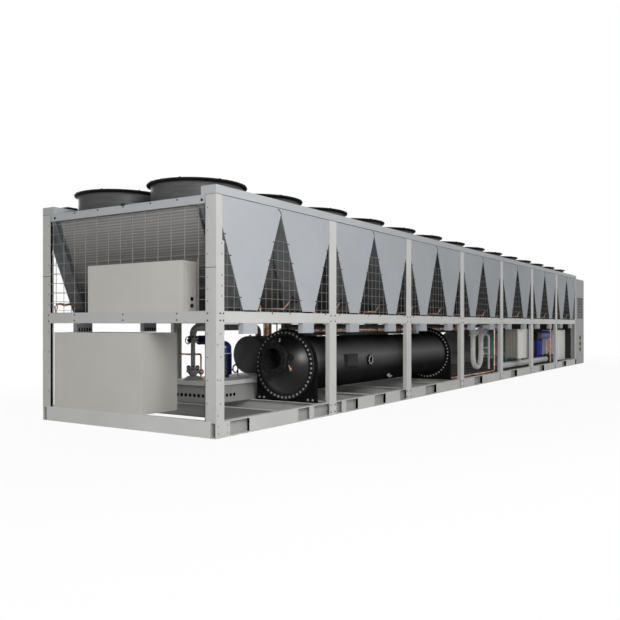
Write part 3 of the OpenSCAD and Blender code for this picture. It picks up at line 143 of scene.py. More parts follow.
class Builder:
    """Collects the points and faces of one piece."""

    def __init__(self):
        self.points = []
        self.faces = []

    def add(self, points, faces):
        start = len(self.points)
        self.points.extend(points)
        self.faces.extend([tuple(start + i for i in face) for face in faces])

    def lathe(self, origin, axis, profile, sides, turn=0.0, ring=False):
        """Turns (radius, height) pairs about an axis. A ring joins its last pair to the first."""
        origin = Vector(origin)
        axis = axis.normalized()
        first, second = across_frame(axis)
        points = []
        rows = []
        for radius, height in profile:
            centre = origin + axis * height
            count = 1 if radius == 0 else sides
            rows.append([len(points) + i for i in range(count)])
            for cos, sin in list(circle_points(sides, turn))[:count]:
                points.append(centre + radius * (cos * first + sin * second))
        pairs = list(zip(rows, rows[1:]))
        if ring:
            pairs.append((rows[-1], rows[0]))
        faces = []
        for low, high in pairs:
            for i in range(sides):
                j = (i + 1) % sides
                corners = [low[i % len(low)], low[j % len(low)], high[j % len(high)], high[i % len(high)]]
                faces.append(tuple(dict.fromkeys(corners)))
        if not ring:
            faces += [tuple(row) for row in (rows[0], rows[-1]) if len(row) > 1]
        self.add(points, faces)

    def block(self, low, high, chamfer=0.002):
        """Box with chamfered edges."""
        low, high = Vector(low), Vector(high)
        chamfer = min(chamfer, 0.4 * min(high - low))
        points = []
        number = {}
        for corner in range(8):
            sides = [(corner >> axis) & 1 for axis in range(3)]
            for face in range(3):
                inset = [0 if axis == face else chamfer for axis in range(3)]
                number[corner, face] = len(points)
                points.append(Vector([
                    high[axis] - inset[axis] if sides[axis] else low[axis] + inset[axis] for axis in range(3)
                ]))
        faces = [tuple(number[corner, face] for face in range(3)) for corner in range(8)]
        for face in range(3):
            one, two = 1 << (face + 1) % 3, 1 << (face + 2) % 3
            for base in (0, 1 << face):
                faces.append(tuple(number[c, face] for c in (base, base + one, base + one + two, base + two)))
            run = 1 << face
            for base in (0, one, two, one + two):
                flat, steep = (face + 1) % 3, (face + 2) % 3
                faces.append((number[base, flat], number[base + run, flat],
                              number[base + run, steep], number[base, steep]))
        self.add(points, faces)

    def tube(self, path, radius, sides=10):
        """Round bar along a path, closed at both ends."""
        path = [Vector(p) for p in path]
        points = []
        rows = []
        first = None
        for k, centre in enumerate(path):
            ahead = (path[min(k + 1, len(path) - 1)] - path[max(k - 1, 0)]).normalized()
            if first is None:
                first = across_frame(ahead)[0]
            first = (first - ahead * first.dot(ahead)).normalized()
            second = ahead.cross(first)
            rows.append(range(len(points), len(points) + sides))
            for cos, sin in circle_points(sides):
                points.append(centre + radius * (cos * first + sin * second))
        faces = []
        for low, high in zip(rows, rows[1:]):
            for i in range(sides):
                j = (i + 1) % sides
                faces.append((low[i], low[j], high[j], high[i]))
        faces += [tuple(rows[0]), tuple(rows[-1])]
        self.add(points, faces)

    def bolt(self, at, axis, size, turn=0.3):
        """Hexagon head on a washer."""
        at = Vector(at)
        r, h = size
        washer_h = 0.2 * h
        self.lathe(at, axis, rod(1.45 * r, washer_h), 10)
        self.lathe(at + axis * washer_h, axis, [(r, 0), (r, 0.8 * h), (0.82 * r, h), (0, h)], 6, turn)

    def bead(self, centre, axis, radius, thickness, sides=48, round_sides=6):
        """Round ring about an axis."""
        profile = [(radius + thickness * cos, thickness * sin) for cos, sin in circle_points(round_sides)]
        self.lathe(centre, axis, profile, sides, ring=True)


def piece(name, builder, material, replaces=()):
    """Makes the collected faces one object that rides on the frame."""
    mesh = bpy.data.meshes.new(name)
    mesh.from_pydata([tuple(p) for p in builder.points], [], builder.faces)
    work = bmesh.new()
    work.from_mesh(mesh)
    bmesh.ops.recalc_face_normals(work, faces=work.faces)
    work.to_mesh(mesh)
    work.free()
    mesh.shade_smooth()
    mesh.set_sharp_from_angle(angle=math.radians(SMOOTH_BELOW))
    mesh.materials.append(material)
    obj = bpy.data.objects.new(name, mesh)
    bpy.context.scene.collection.objects.link(obj)
    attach(obj, "root")
    for node in replaces:
        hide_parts(node)


class Shader:
    """A material's node tree, with short calls for the nodes used here."""

    def __init__(self, name, roughness, metallic=0.0, specular=0.5):
        self.material = bpy.data.materials.new(name)
        self.material.use_nodes = True
        self.tree = self.material.node_tree
        self.surface = self.tree.nodes["Principled BSDF"]
        self.surface.inputs["Roughness"].default_value = roughness
        self.surface.inputs["Metallic"].default_value = metallic
        self.surface.inputs["Specular IOR Level"].default_value = specular

    def node(self, kind, settings=(), **inputs):
        made = self.tree.nodes.new(kind)
        for name, value in dict(settings).items():
            setattr(made, name, value)
        for name, value in inputs.items():
            self.put(made.inputs[name], value)
        return made

    def put(self, socket, value):
        if isinstance(value, bpy.types.NodeSocket):
            self.tree.links.new(value, socket)
        else:
            socket.default_value = value

    def place(self):
        """Position in the part's frame, in metres."""
        return self.node("ShaderNodeTexCoord").outputs["Object"]

    def axis(self, letter):
        split = self.node("ShaderNodeSeparateXYZ", Vector=self.place())
        return split.outputs[letter]

    def noise(self, scale, detail, stretch=(1, 1, 1)):
        spread = self.node("ShaderNodeMapping", Vector=self.place(), Scale=stretch)
        made = self.node("ShaderNodeTexNoise", Vector=spread.outputs[0], Scale=scale, Detail=detail)
        return made.outputs[0]

    def patches(self, scale, detail, to_low=0.0, to_high=1.0, stretch=(1, 1, 1)):
        """Noise spread over the whole range between two values."""
        return self.between(self.noise(scale, detail, stretch), *NOISE_RANGE, to_low, to_high)

    def math(self, operation, first, second=0.0):
        made = self.node("ShaderNodeMath", {"operation": operation})
        self.put(made.inputs[0], first)
        self.put(made.inputs[1], second)
        return made.outputs[0]

    def waves(self, letter, pitch):
        """Level lines along an axis, from 0 to 1."""
        turns = self.math("MULTIPLY", self.axis(letter), 2 * math.pi / pitch)
        swing = self.math("SINE", turns)
        return self.between(swing, -1, 1, 0, 1)

    def between(self, value, low, high, to_low=0.0, to_high=1.0):
        made = self.node("ShaderNodeMapRange")
        for name, number in (("Value", value), ("From Min", low), ("From Max", high),
                             ("To Min", to_low), ("To Max", to_high)):
            self.put(made.inputs[name], number)
        return made.outputs[0]

    def blend(self, share, first, second):
        made = self.node("ShaderNodeMix", {"data_type": "RGBA"})
        self.put(made.inputs[0], share)
        self.put(made.inputs[6], first)
        self.put(made.inputs[7], second)
        return made.outputs[2]

    def bump(self, height, strength, distance):
        made = self.node("ShaderNodeBump", Height=height, Strength=strength, Distance=distance)
        self.put(self.surface.inputs["Normal"], made.outputs[0])

    def colour(self, value):
        self.put(self.surface.inputs["Base Color"], value)

    def rough(self, value):
        self.put(self.surface.inputs["Roughness"], value)


def tone(colour, factor=1.0):
    """A colour made lighter or darker, with its alpha."""
    return tuple(channel * factor for channel in colour) + (1.0,)


def powder_coat(name, colour, roughness=0.50, cloud=0.05, dust=0.0, specular=0.10, zones=()):
    """Coated sheet steel: cloudy tone, orange peel and dust that settles towards the ground.

    A zone is an axis, where it starts and ends along it, and the colour past its end. Zones come in order.
    """
    dust_colour = (0.33, 0.31, 0.27)
    dust_top = 0.45
    speck_share = 0.18
    shader = Shader(name, roughness, specular=specular)
    value = shader.blend(shader.patches(1.7, 4), tone(colour, 1 - cloud), tone(colour, 1 + cloud))
    specks = shader.between(shader.noise(240, 2), 0.62, 0.75, 0, speck_share)
    value = shader.blend(specks, value, tone(colour, 0.8))
    if dust:
        low = shader.between(shader.axis("Z"), 0.0, dust_top, dust, 0.0)
        settled = shader.math("MULTIPLY", low, shader.noise(9, 4))
        value = shader.blend(settled, value, tone(dust_colour))
    for letter, start, end, other in zones:
        value = shader.blend(shader.between(shader.axis(letter), start, end), value, tone(other))
    shader.colour(value)
    shader.rough(shader.patches(35, 3, roughness - 0.05, roughness + 0.07))
    shader.bump(shader.noise(420, 2), 0.10, 0.0006)
    return shader.material


def shaded_inside(shader, value, deep):
    """Painted shade: darkens a tone along the machine, where less light reaches the coils away from the front
    end.
    """
    start, end = FRONT + 1.3, FRONT + 4.5
    most = 0.85
    return shader.blend(shader.between(shader.axis("X"), start, end, 0.0, most), value, tone(deep))


def coil_fin_metal():
    """Thin fins: level tube rows, upright fin edges, darker towards the tray."""
    light, dark = (0.47, 0.457, 0.440), (0.28, 0.271, 0.260)
    tray_dark, deep = (0.030, 0.028, 0.027), (0.030, 0.030, 0.032)
    row_pitch = 0.025
    fin_pitch = 0.0055
    shader = Shader("coil_fin_metal", 0.65, metallic=0.1, specular=0.08)
    rows = shader.waves("Z", row_pitch)
    fins = shader.waves("Y", fin_pitch)
    stains = shader.patches(6, 4, stretch=(1, 0.6, 3))
    value = shader.blend(rows, tone(dark), tone(light))
    value = shader.blend(shader.math("MULTIPLY", fins, 0.35), value, tone(dark, 0.7))
    value = shader.blend(shader.math("MULTIPLY", stains, 0.25), value, tone(dark))
    # Darker towards the tray
    low = shader.between(shader.axis("Z"), 1.18, 1.92, 0.96, 0.0)
    value = shader.blend(low, value, tone(tray_dark))
    # Painted shade deepens along the machine
    shader.colour(shaded_inside(shader, value, deep))
    height = shader.math("ADD", rows, shader.math("MULTIPLY", fins, 0.6))
    shader.bump(height, 0.5, 0.002)
    return shader.material


def casing_metal():
    """Dull zinc casings of the coils, darker in patches towards the tray."""
    dark, light = (0.165, 0.170, 0.177), (0.205, 0.210, 0.219)
    low_patches_colour, deep, foot_colour = (0.03, 0.028, 0.026), (0.022, 0.023, 0.027), (0.015, 0.015, 0.015)
    shader = Shader("casing_metal", 0.6, metallic=0.1, specular=0.10)
    value = shader.blend(shader.patches(5, 5), tone(dark), tone(light))
    # Darker in patches towards the tray
    low_patches = shader.between(shader.axis("Z"), 1.08, 1.75, 1.0, 0.0)
    value = shader.blend(shader.math("MULTIPLY", low_patches, shader.noise(14, 3)), value, tone(low_patches_colour))
    # Painted shade deepens along the machine
    value = shaded_inside(shader, value, deep)
    foot = shader.between(shader.axis("Z"), 1.09, 1.125, 1.0, 0.0)
    shader.colour(shader.blend(foot, value, tone(foot_colour)))
    shader.bump(shader.noise(90, 3), 0.15, 0.001)
    return shader.material


def black_skin(name, colour, roughness, specular, band=None):
    """Black skin of vessels and insulation: fine pores and rubbed patches.

    A band is a painted highlight: the height of its middle, how far it reaches up and down, and its lighter
    colour.
    """
    shader = Shader(name, roughness, specular=specular)
    rubbed = shader.between(shader.noise(4, 5), 0.35, 0.75)
    value = shader.blend(rubbed, tone(colour, 0.8), tone(colour, 1.25))
    pores = shader.between(shader.noise(520, 2), 0.6, 0.72)
    value = shader.blend(shader.math("MULTIPLY", pores, 0.3), value, tone(colour, 1.8))
    # Painted highlight: a lighter band about a height
    if band:
        middle, reach, light = band
        away = shader.math("ABSOLUTE", shader.math("SUBTRACT", shader.axis("Z"), middle))
        near = shader.between(away, 0.0, reach, 1.0, 0.0)
        value = shader.blend(shader.math("POWER", near, 1.5), value, tone(light))
    shader.colour(value)
    shader.rough(shader.between(rubbed, 0, 1, roughness + 0.05, roughness - 0.05))
    height = shader.math("ADD", shader.noise(300, 3), shader.math("MULTIPLY", shader.noise(14, 2), 2.0))
    shader.bump(height, 0.08, 0.001)
    return shader.material


def copper_tube(name, bright, brown):
    """Bare copper: brown bloom over a brighter drawn surface."""
    shader = Shader(name, 0.34, metallic=1.0)
    bloom = shader.between(shader.noise(16, 5), 0.30, 0.65)
    shader.colour(shader.blend(bloom, tone(bright), tone(brown)))
    shader.rough(shader.between(bloom, 0, 1, 0.28, 0.5))
    shader.bump(shader.noise(180, 2), 0.08, 0.001)
    return shader.material


def enamel(name, colour, deep, roughness=0.28, bands=(), specular=0.5):
    """Glossy machine enamel with runs of a deeper tone. A band is a height range and its colour."""
    edge = 0.002
    shader = Shader(name, roughness, specular=specular)
    value = shader.blend(shader.patches(7, 4, stretch=(1, 1, 0.5)), tone(colour), tone(deep))
    for low, high, band in bands:
        above = shader.between(shader.axis("Z"), low - edge, low + edge)
        below = shader.between(shader.axis("Z"), high - edge, high + edge, 1.0, 0.0)
        value = shader.blend(shader.math("MULTIPLY", above, below), value, tone(band))
    shader.colour(value)
    shader.rough(shader.patches(60, 3, roughness, roughness + 0.15))
    shader.bump(shader.noise(220, 2), 0.12, 0.001)
    return shader.material


def zinc(name, light, dark, roughness=0.5, metallic=0.0, specular=0.1):
    """Plated steel with spangled grey tones."""
    shader = Shader(name, roughness, metallic=metallic, specular=specular)
    spangle = shader.between(shader.noise(150, 3), 0.35, 0.65)
    shader.colour(shader.blend(spangle, tone(dark), tone(light)))
    shader.rough(shader.patches(60, 2, roughness - 0.08, roughness + 0.1))
    shader.bump(shader.noise(400, 2), 0.1, 0.0005)
    return shader.material


def cowl_coat():
    """Dark satin cowl with drawn rings, with painted shade that makes it near black at the rolled rim."""
    dark, light, rim_shade_colour = (0.082, 0.082, 0.084), (0.110, 0.110, 0.112), (0.008, 0.008, 0.008)
    rim_shade_start, rim_shade_end = COWL_TOP - 0.024, COWL_TOP - 0.012
    shader = Shader("cowl_coat", 0.5, specular=0.05)
    streak = shader.patches(5, 4, stretch=(1, 1, 12))
    value = shader.blend(streak, tone(dark), tone(light))
    # Painted shade under the rolled rim
    rim = shader.between(shader.axis("Z"), rim_shade_start, rim_shade_end)
    shader.colour(shader.blend(rim, value, tone(rim_shade_colour)))
    shader.rough(shader.between(streak, 0, 1, 0.40, 0.52))
    shader.bump(shader.noise(260, 2), 0.1, 0.0008)
    return shader.material


def pipe_sleeve(name, dark, light, specular):
    """Grey pipe sleeve with taped joints every half metre."""
    joint_pitch = 0.5
    shader = Shader(name, 0.5, specular=specular)
    value = shader.blend(shader.patches(11, 4), tone(dark), tone(light))
    tape = shader.between(shader.waves("X", joint_pitch), 0.985, 1.0)
    shader.colour(shader.blend(shader.math("MULTIPLY", tape, 0.5), value, tone(dark, 0.55)))
    shader.bump(shader.noise(130, 3), 0.2, 0.0015)
    return shader.material


def dress(material, *nodes):
    """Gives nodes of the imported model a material, and returns it for the pieces that share it."""
    for name in nodes:
        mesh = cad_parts[name].data
        mesh.materials.clear()
        mesh.materials.append(material)
    return material


# Paints of the frame and the base
BASE_COLOUR = (0.550, 0.552, 0.537)
END_CHANNEL_FROM, END_CHANNEL_TO = FRONT + END_CHANNEL, REAR - END_CHANNEL
# Where the painted shade on the cross members deepens, then turns near black, along the machine
SHADE_FADE_START, SHADE_FADE_END = FRONT + 3.6, FRONT + 4.6
DEEP_SHADE_START, DEEP_SHADE_END = FRONT + 5.5, FRONT + 6.0
LIP_LOW = PLATFORM_TOP - PLATFORM_LIP
dress(powder_coat("frame_paint", (0.560, 0.562, 0.546), dust=0.15), "corner_posts", "end_mid_beams")
dress(powder_coat(
    "side_paint", (0.585, 0.587, 0.572), roughness=0.42, cloud=0.03, specular=0.45
), "side_posts", "mid_rails")
# The cross members' tones are painted light and shade: darker past the front channel, lighter on their lit
# top flanges, darker again further along, near black under the evaporator and compressors, and plain at the
# rear channel
dress(powder_coat("bearer_paint", (0.650, 0.652, 0.634), zones=(
    ("X", END_CHANNEL_FROM, END_CHANNEL_FROM + 0.01, (0.42, 0.42, 0.41)),
    ("Z", BASE_TOP - 0.006, BASE_TOP - 0.003, (0.680, 0.682, 0.664)),
    ("X", SHADE_FADE_START, SHADE_FADE_END, (0.40, 0.40, 0.39)),
    ("X", DEEP_SHADE_START, DEEP_SHADE_END, (0.08, 0.078, 0.074)),
    ("X", END_CHANNEL_TO - 0.01, END_CHANNEL_TO, BASE_COLOUR),
)), "base_cross_members")
# Painted shade: the base rails' webs inside the channels are darker than their flanges
dress(powder_coat("rail_web_paint", BASE_COLOUR, zones=(
    ("Y", NEAR + WEB_IN, NEAR + WEB_IN + 0.002, (0.40, 0.402, 0.39)),
    ("Y", FAR - WEB_IN - 0.002, FAR - WEB_IN, BASE_COLOUR),
    ("Z", BASE_TOP - 0.013, BASE_TOP - 0.011, BASE_COLOUR),
)), "base_rails")
dress(powder_coat("base_paint", BASE_COLOUR, roughness=0.45, dust=0.15, specular=0.35), "base_closing_plates")
# The floor sheet's dark grey is painted shade under the machine
dress(powder_coat("floor_paint", (0.18, 0.18, 0.176), cloud=0.12, dust=0.2), "front_floor_sheet")
# Painted light and shade: the platform's skirt is painted dark where shade falls, its lip above painted light
# where light catches it
dress(powder_coat("platform_paint", (0.38, 0.38, 0.374), cloud=0.08, zones=(
    ("Z", LIP_LOW - 0.003, LIP_LOW, (0.80, 0.80, 0.785)),
)), "equipment_platform")
dress(powder_coat("rail_paint", (0.485, 0.500, 0.512), cloud=0.03), "top_rails", "end_top_beams")
dress(powder_coat(
    "sheet_paint", (0.462, 0.483, 0.507), roughness=0.55, cloud=0.04, specular=0.0
), "ridge_beams", "fan_deck", "coil_feet", "v_plates_near", "v_plates_far")

# Paints of the boxes and cabinets, some with one face in another tone; on the control boxes and the end
# cabinet that tone is painted shade
BOX_COLOUR = (0.600, 0.588, 0.550)
# Painted shade: the control boxes' sides, tops and backs are darker than their fronts
dress(powder_coat("box_paint", BOX_COLOUR, cloud=0.03, specular=0.06, zones=(
    ("X", FRONT + 0.002, FRONT + 0.004, (0.490, 0.479, 0.447)),
)), "upper_control_box", "lower_control_cabinet")
lid_paint = dress(powder_coat(
    "lid_paint", (0.780, 0.770, 0.740), roughness=0.42, cloud=0.03, specular=0.40
), "rear_bay_cabinet")
rib_paint = powder_coat("rib_paint", (0.400, 0.385, 0.345), specular=0.06)
dress(powder_coat("terminal_paint", (0.250, 0.238, 0.205), specular=0.06, zones=(
    ("X", TERMINAL_END + 0.001, TERMINAL_END + 0.003, BOX_COLOUR),
)), "terminal_box")
# Painted shade: the end cabinet's face towards the machine is near black, its other faces lighter
dress(powder_coat("cabinet_paint", (0.05, 0.05, 0.05), zones=(
    ("X", REAR + 0.004, REAR + 0.008, (0.40, 0.40, 0.395)),
)), "end_cabinet", "end_cabinet_doors")
dress(powder_coat("grille_paint", (0.24, 0.24, 0.24)), "end_cabinet_grilles")

# Coils, fans, vessels and pipes
CAP_LOW = DRIER_TOP - DRIER_CAP
dress(coil_fin_metal(), "coil_fins")
dress(casing_metal(), "coil_casings")
dress(cowl_coat(), "fan_cowls", "fan_motors", "fan_impellers")
# The shell's lighter band along its upper side is a painted highlight
dress(black_skin(
    "shell_black", (0.016, 0.016, 0.0165), roughness=0.50, specular=0.0,
    band=(SHELL_AXIS.z + 0.070, 0.20, (0.135, 0.135, 0.136))
), "evaporator_shell")
dress(black_skin(
    "cast_black", (0.018, 0.018, 0.0185), roughness=0.34, specular=0.14
), "evaporator_front_head", "evaporator_rear_head")
dress(black_skin(
    "plate_black", (0.009, 0.009, 0.0093), roughness=0.6, specular=0.01
), "evaporator_tube_sheets", "sight_glass")
dress(black_skin("box_black", (0.036, 0.036, 0.037), roughness=0.5, specular=0.03), "shell_junction_box")
band_grey = black_skin("band_grey", (0.075, 0.078, 0.082), roughness=0.55, specular=0.03)
vessel_black = dress(black_skin(
    "vessel_black", (0.140, 0.140, 0.142), roughness=0.55, specular=0.02
), "oil_separator", "separator_saddles")
pitch_black = black_skin("pitch_black", (0.006, 0.006, 0.006), roughness=0.80, specular=0.0)
copper = dress(copper_tube(
    "copper_tube", (0.70, 0.45, 0.32), (0.30, 0.155, 0.10)
), "copper_risers", "discharge_line", "riser_branch")
dress(copper_tube("old_copper", (0.46, 0.29, 0.21), (0.17, 0.095, 0.065)), "liquid_headers", "coil_pipes")
dress(enamel("blue", (0.022, 0.055, 0.36), (0.009, 0.018, 0.15), specular=0.14), "motor_valve")
dress(enamel("drier_blue", (0.020, 0.075, 0.46), (0.012, 0.045, 0.33), roughness=0.20, bands=(
    (0.0, CAP_LOW - DRIER_BEAD, (0.007, 0.012, 0.070)),
    (CAP_LOW - DRIER_BEAD, CAP_LOW + 0.002, (0.50, 0.55, 0.66)),
)), "filter_drier")
dress(enamel("navy", (0.012, 0.020, 0.085), (0.006, 0.010, 0.045), specular=0.2), "valve_actuator")
dress(enamel(
    "teal", (0.215, 0.325, 0.335), (0.115, 0.205, 0.215), roughness=0.4, specular=0.15
), "compressors")
sleeve = dress(pipe_sleeve(
    "pale_sleeve", (0.62, 0.63, 0.61), (0.76, 0.77, 0.75), 0.35
), "suction_line", "oil_line", "service_pipe")
dress(pipe_sleeve("riser_grey", (0.27, 0.275, 0.27), (0.37, 0.375, 0.37), 0.15), "vent_riser")

# Fasteners and wires
bolt_zinc = zinc("bolt_zinc", (0.50, 0.50, 0.49), (0.32, 0.32, 0.32), roughness=0.38, metallic=0.7)
grey_zinc = zinc("grey_zinc", (0.38, 0.38, 0.38), (0.28, 0.28, 0.28), metallic=0.1)
dark_zinc = dress(zinc("dark_zinc", (0.090, 0.090, 0.090), (0.045, 0.045, 0.045), metallic=0.1), "line_valve")
dress(zinc("wire_zinc", (0.32, 0.32, 0.315), (0.24, 0.24, 0.235), specular=0.05), "front_guard")
dress(zinc(
    "side_wire", (0.24, 0.24, 0.236), (0.17, 0.17, 0.167), specular=0.05
), "side_guards_near_front", "side_guards_near_rear", "side_guards_far_front", "side_guards_far_rear")
guard_black = dress(zinc(
    "guard_black", (0.012, 0.012, 0.013), (0.006, 0.006, 0.007)
), "fan_guards_near", "fan_guards_far", "coil_valves", "valve_motor", "coil_trays")


def corner_bolts():
    """Rows of bolts up the faces of the corner posts, closer together beside the box."""
    low_rows = [0.293 + 0.197 * i for i in range(4)]
    close_rows = [1.160, 1.262, 1.362]
    high_rows = [1.560, 1.757, 1.954]
    side_columns = (
        (0.057, low_rows),
        (0.020, (0.194, 0.493, 0.792)),
        (0.072, (1.204, 1.290, 1.382, 1.560, 1.650)),
    )
    out = Builder()
    for y, z in product(POST_BOLTS_Y, low_rows + close_rows + high_rows):
        out.bolt((FRONT, y, z), -ALONG, POST_BOLT)
    for (face, axis), (end, inward), (from_end, rows) in product(BOTH_SIDES, BOTH_ENDS, side_columns):
        for z in rows:
            out.bolt((end + inward * from_end, face, z), axis, POST_BOLT)
    piece("corner_post_bolts", out, grey_zinc)


def joint_bolts():
    """Dark bolts where the beams meet the posts and the posts meet the base."""
    beam_rows = (0.996, 1.056)
    foot_rows = (0.034, 0.108)
    corner_columns = (0.052, 0.094)
    middle_columns = (-0.042, 0.042)
    out = Builder()
    for y, z in product(POST_BOLTS_Y, beam_rows):
        out.bolt((FRONT, y, z), -ALONG, POST_BOLT)
    for face, axis in BOTH_SIDES:
        for (end, inward), z, from_end in product(BOTH_ENDS, beam_rows, corner_columns):
            out.bolt((end + inward * from_end, face, z), axis, POST_BOLT)
        for i, dx, z in product(range(1, BAYS), middle_columns, foot_rows + beam_rows):
            out.bolt((FRONT + i * BAY + dx, face, z), axis, POST_BOLT)
    piece("joint_bolts", out, dark_zinc)


def beam_bolts():
    """Bolts in the front beams, and the guard's feet along the side beams."""
    beam_columns, beam_rows = (0.449, 1.121, 1.800), (1.001, 1.056)
    top_columns, top_row = (0.445, 0.768, 1.119, 1.463, 1.795), 2.048
    foot_columns = (-0.145, 0.145)
    clear_of_end = 0.15
    half_w = 0.004
    foot_low, foot_high = BEAM_TOP - 0.02, BEAM_TOP + 0.01
    beam_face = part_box("end_mid_beams")[0].x
    rails_low, rails_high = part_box("mid_rails")
    out = Builder()
    for y, z in product(beam_columns, beam_rows):
        out.bolt((beam_face, NEAR + y, z), -ALONG, POST_BOLT)
    for y in top_columns:
        out.bolt((beam_face, NEAR + y, top_row), -ALONG, POST_BOLT)
    for face, axis in ((rails_low.y, -ACROSS), (rails_high.y, ACROSS)):
        for k, dx in product(range(FANS + 1), foot_columns):
            x = FRONT + k * HALF_BAY + dx
            if FRONT + clear_of_end < x < REAR - clear_of_end:
                out.bolt((x, face, BEAM_TOP - 0.012), axis, SMALL_BOLT)
                out.block((x - half_w, face - 0.004, foot_low), (x + half_w, face + 0.006, foot_high))
    piece("beam_bolts", out, dark_zinc)


def plate_clips():
    """Clips that hold the mesh along the slopes of the V-shaped plates."""
    rows = (1.200, 1.557, 1.734)
    lap = 0.010
    clear_of_post = 0.02
    half_l, half_w = 0.016, 0.004
    out = Builder()
    for (face, axis), i, z, lean in product(PLATE_FACES, range(FANS), rows, (-1, 1)):
        reach = v_half(z) - lap
        x = fan_x(i) + lean * reach
        at_post = (i % 2 == 0) == (lean < 0)
        if at_post and reach > HALF_BAY / 2 - POST_HALF - clear_of_post:
            continue
        out.bolt((x, face, z), axis, SMALL_BOLT)
        out.block((x - half_l, face - half_w, z - half_w), (x + half_l, face + half_w, z + half_w))
    piece("plate_clips", out, dark_zinc)


def seams_and_shade_lines():
    """Dark joint lines across the front posts, painted shadow lines under the top rails, and painted shade
    strips along the posts' inner edges.
    """
    line = 0.0035
    proud = 0.0012
    seam_z = 1.442
    shade_strip = 0.010
    shade_strip_from, shade_strip_to = FRONT + 0.002, FRONT + 0.020
    out = Builder()
    for y in (NEAR, FAR - CORNER_W):
        out.block((FRONT - proud, y, seam_z), (FRONT + line, y + CORNER_W, seam_z + 1.5 * line))
        # Painted shadow under the top rail's edge
        out.block((FRONT - proud, y, RAIL_LOW - line), (FRONT + line, y + CORNER_W, RAIL_LOW))
    for face in (NEAR, FAR):
        # Painted shadow under the top rails along both sides
        out.block((FRONT, face - proud, RAIL_LOW - line), (REAR, face + proud, RAIL_LOW))
    # Painted shade strips along the posts' inner edges
    for y in (NEAR + CORNER_W, FAR - CORNER_W - shade_strip):
        for low, high in ((BASE_TOP, BEAM_LOW), (BEAM_TOP, RAIL_LOW)):
            out.block((shade_strip_from, y, low), (shade_strip_to, y + shade_strip, high))
    piece("seams_and_shade_lines", out, pitch_black)


def apex_hooks():
    """Bent tabs at the tops of the spaces between the V-shaped plates."""
    hook = ((0.0, -0.012), (-0.003, 0.004), (-0.016, 0.020), (-0.040, 0.036), (-0.055, 0.040))
    wire_r = 0.004
    out = Builder()
    for (face, _), k in product(PLATE_FACES, range(1, FANS, 2)):
        x = FRONT + k * HALF_BAY
        out.tube([(x + dx, face, V_APEX_Z + dz) for dx, dz in hook], wire_r, 8)
    piece("apex_hooks", out, dark_zinc)


def base_bolts():
    """Bolts on the closing plates at the front and on the upper flanges of the base rails."""
    columns, rows = (0.035, 0.150), (0.040, 0.100)
    flange_in = 0.012
    a_bay = 4
    plates_low, plates_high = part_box("base_closing_plates")
    out = Builder()
    for face, axis, inward in ((plates_low.y, -ACROSS, 1), (plates_high.y, ACROSS, -1)):
        for x, z in product(columns, rows):
            out.bolt((FRONT + x, face, z), axis, SMALL_BOLT)
        for i in range(1, a_bay * BAYS):
            if i % a_bay:
                out.bolt((FRONT + i * BAY / a_bay, face + inward * flange_in, BASE_TOP), UP, POST_BOLT)
    piece("base_bolts", out, grey_zinc)


def beam_plugs():
    """Black plugs in the front top beam, the bracket over its middle and a cover on the far rail."""
    columns, row = (0.159, 2.092), 2.021
    plug = [(0, 0), (0.012, 0), (0.012, 0.003), (0.009, 0.006), (0, 0.005)]
    bracket_from, bracket_to = NEAR + 1.095, NEAR + 1.145
    out = Builder()
    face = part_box("end_top_beams")[0].x
    for y in columns:
        out.lathe((face, NEAR + y, row), -ALONG, plug, 16)
    out.block((face - 0.006, bracket_from, 2.058), (face + 0.03, bracket_to, 2.078))
    out.block((FRONT + 0.19, FAR - 0.14, RAIL_TOP), (FRONT + 0.33, FAR - 0.03, RAIL_TOP + 0.030), 0.010)
    piece("beam_plugs", out, guard_black)


def evaporator_bolts():
    """Rings of bolts through the tube sheets with their nuts inside, and bolts at the feet."""
    ring_r = 0.347
    ring_t = 0.030
    sheet_t = 0.045
    count = 44
    foot_columns = (0.035, 0.095)
    foot_row = BASE_TOP + 0.030
    ring_faces = ((sheets_low.x - ring_t, -ALONG), (sheets_low.x + sheet_t, ALONG),
                  (sheets_high.x - sheet_t, -ALONG), (sheets_high.x + ring_t, ALONG))
    foot_faces = ((sheets_low.x, -ALONG), (sheets_high.x, ALONG))
    edges = ((sheets_low.y, 1), (sheets_high.y, -1))
    out = Builder()
    for face, axis in ring_faces:
        for cos, sin in circle_points(count, math.pi / count):
            out.bolt((face, SHELL_AXIS.y + ring_r * cos, SHELL_AXIS.z + ring_r * sin), axis, HEAD_BOLT)
    for (face, axis), (edge, inward), from_edge in product(foot_faces, edges, foot_columns):
        out.bolt((face, edge + inward * from_edge, foot_row), axis, HEAD_BOLT)
    piece("evaporator_bolts", out, bolt_zinc)


